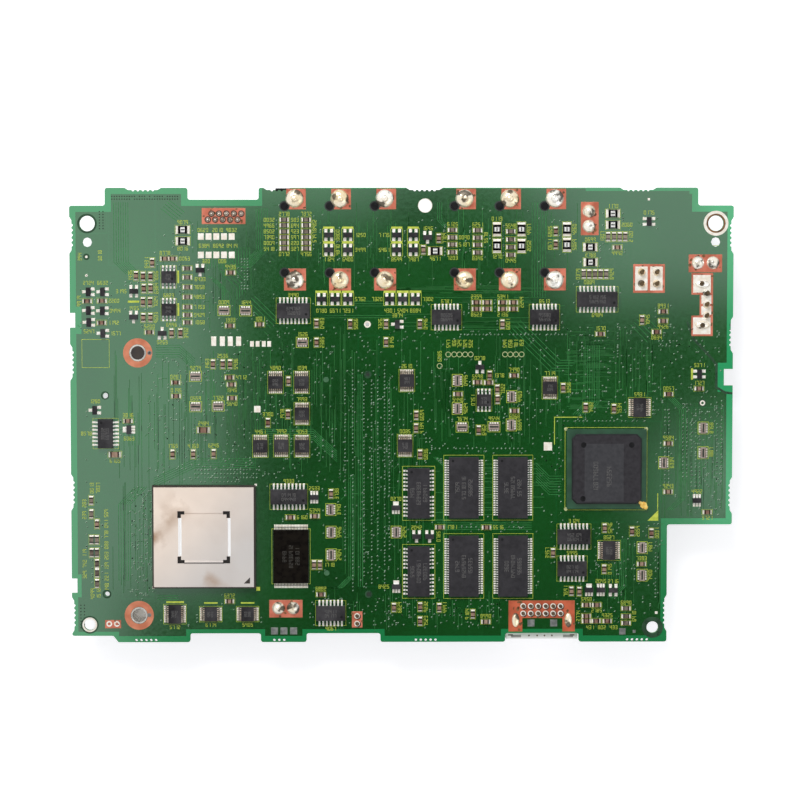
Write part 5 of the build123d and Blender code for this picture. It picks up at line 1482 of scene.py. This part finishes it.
def makeFloor():
    paint = Paint("floorPaint", 0.9)
    path = paint.node("ShaderNodeLightPath")
    seen = Value(paint, path.socket.node.outputs["Is Camera Ray"])
    paint.colour(tone(0.8, 0.8, 0.81))
    glow = paint.mix(seen, tone(0, 0, 0), tone(0.62, 0.62, 0.64))
    paint.feed(paint.shader.inputs["Emission Color"], glow)
    paint.set("Emission Strength", 1.0)
    bpy.ops.mesh.primitive_plane_add(size=studio["floor"], location=(0, 0, cadBox[0][2]))
    floor = bpy.context.object
    floor.name = "floor"
    floor.data.materials.append(paint.material)


def addLamp(name, place, size, power, target=(0, 0, 0)):
    bpy.ops.object.light_add(type="AREA", location=place)
    lamp = bpy.context.object
    lamp.name = name
    lamp.data.shape = "RECTANGLE"
    lamp.data.size, lamp.data.size_y = size
    lamp.data.energy = power
    lamp.rotation_euler = (Vector(target) - Vector(place)).to_track_quat("-Z", "Y").to_euler()


def makeWorld():
    # white all round, with a darker ceiling straight above for what reflects it
    world = bpy.data.worlds.new("studio")
    bpy.context.scene.world = world
    world.use_nodes = True
    graph = Graph(world.node_tree)
    rays = graph.node("ShaderNodeLightPath").socket.node.outputs
    glossy = Value(graph, rays["Is Glossy Ray"])
    direct = Value(graph, rays["Is Camera Ray"]) + Value(graph, rays["Is Transmission Ray"])
    wayX, wayY, wayZ = graph.split(graph.node("ShaderNodeTexCoord", output="Generated"))
    leanX = wayX / wayZ
    leanY = wayY / wayZ
    inner = leanX.ramp(-0.006, 0.008) * (1 - leanX.ramp(0.044, 0.06))
    ceiling = leanX.ramp(-0.068, -0.052) * (1 - (leanY - inner * 0.013).ramp(0.004, 0.024))
    ceiling = ceiling * (1 - leanX.ramp(0.056, 0.08) * leanY.ramp(-0.03, -0.008))
    band = leanY.ramp(-0.125, -0.1) * (1 - leanY.ramp(-0.08, -0.055))
    ceiling = ceiling * (1 - leanX.ramp(0.085, 0.13) * band)
    foot = leanX.ramp(-0.105, -0.09) * (1 - leanY.ramp(-0.14, -0.12))
    ceiling = graph.node("ShaderNodeMath", {"operation": "MAXIMUM"}, {0: ceiling, 1: foot})
    reach = abs(leanX) + abs(leanY)
    ceiling = ceiling * (1 - reach.ramp(0.28, 0.34)) * (wayZ > 0)
    shine = 1 - ceiling * (1 - studio["ceiling"])
    plain = direct * (1 - studio["ambient"]) + studio["ambient"]
    level = plain * (1 - glossy) + shine * glossy
    sky = world.node_tree.nodes["Background"]
    sky.inputs["Color"].default_value = tone(1, 1, 1)
    graph.feed(sky.inputs["Strength"], level)


makeFloor()
addLamp("keyLamp", (-0.18, 0.5, 0.55), (0.35, 0.35), 3.6)
addLamp("fillLamp", (0.9, -0.6, 1.2), (0.9, 0.9), 2.5)
makeWorld()
print("floor and light ready")
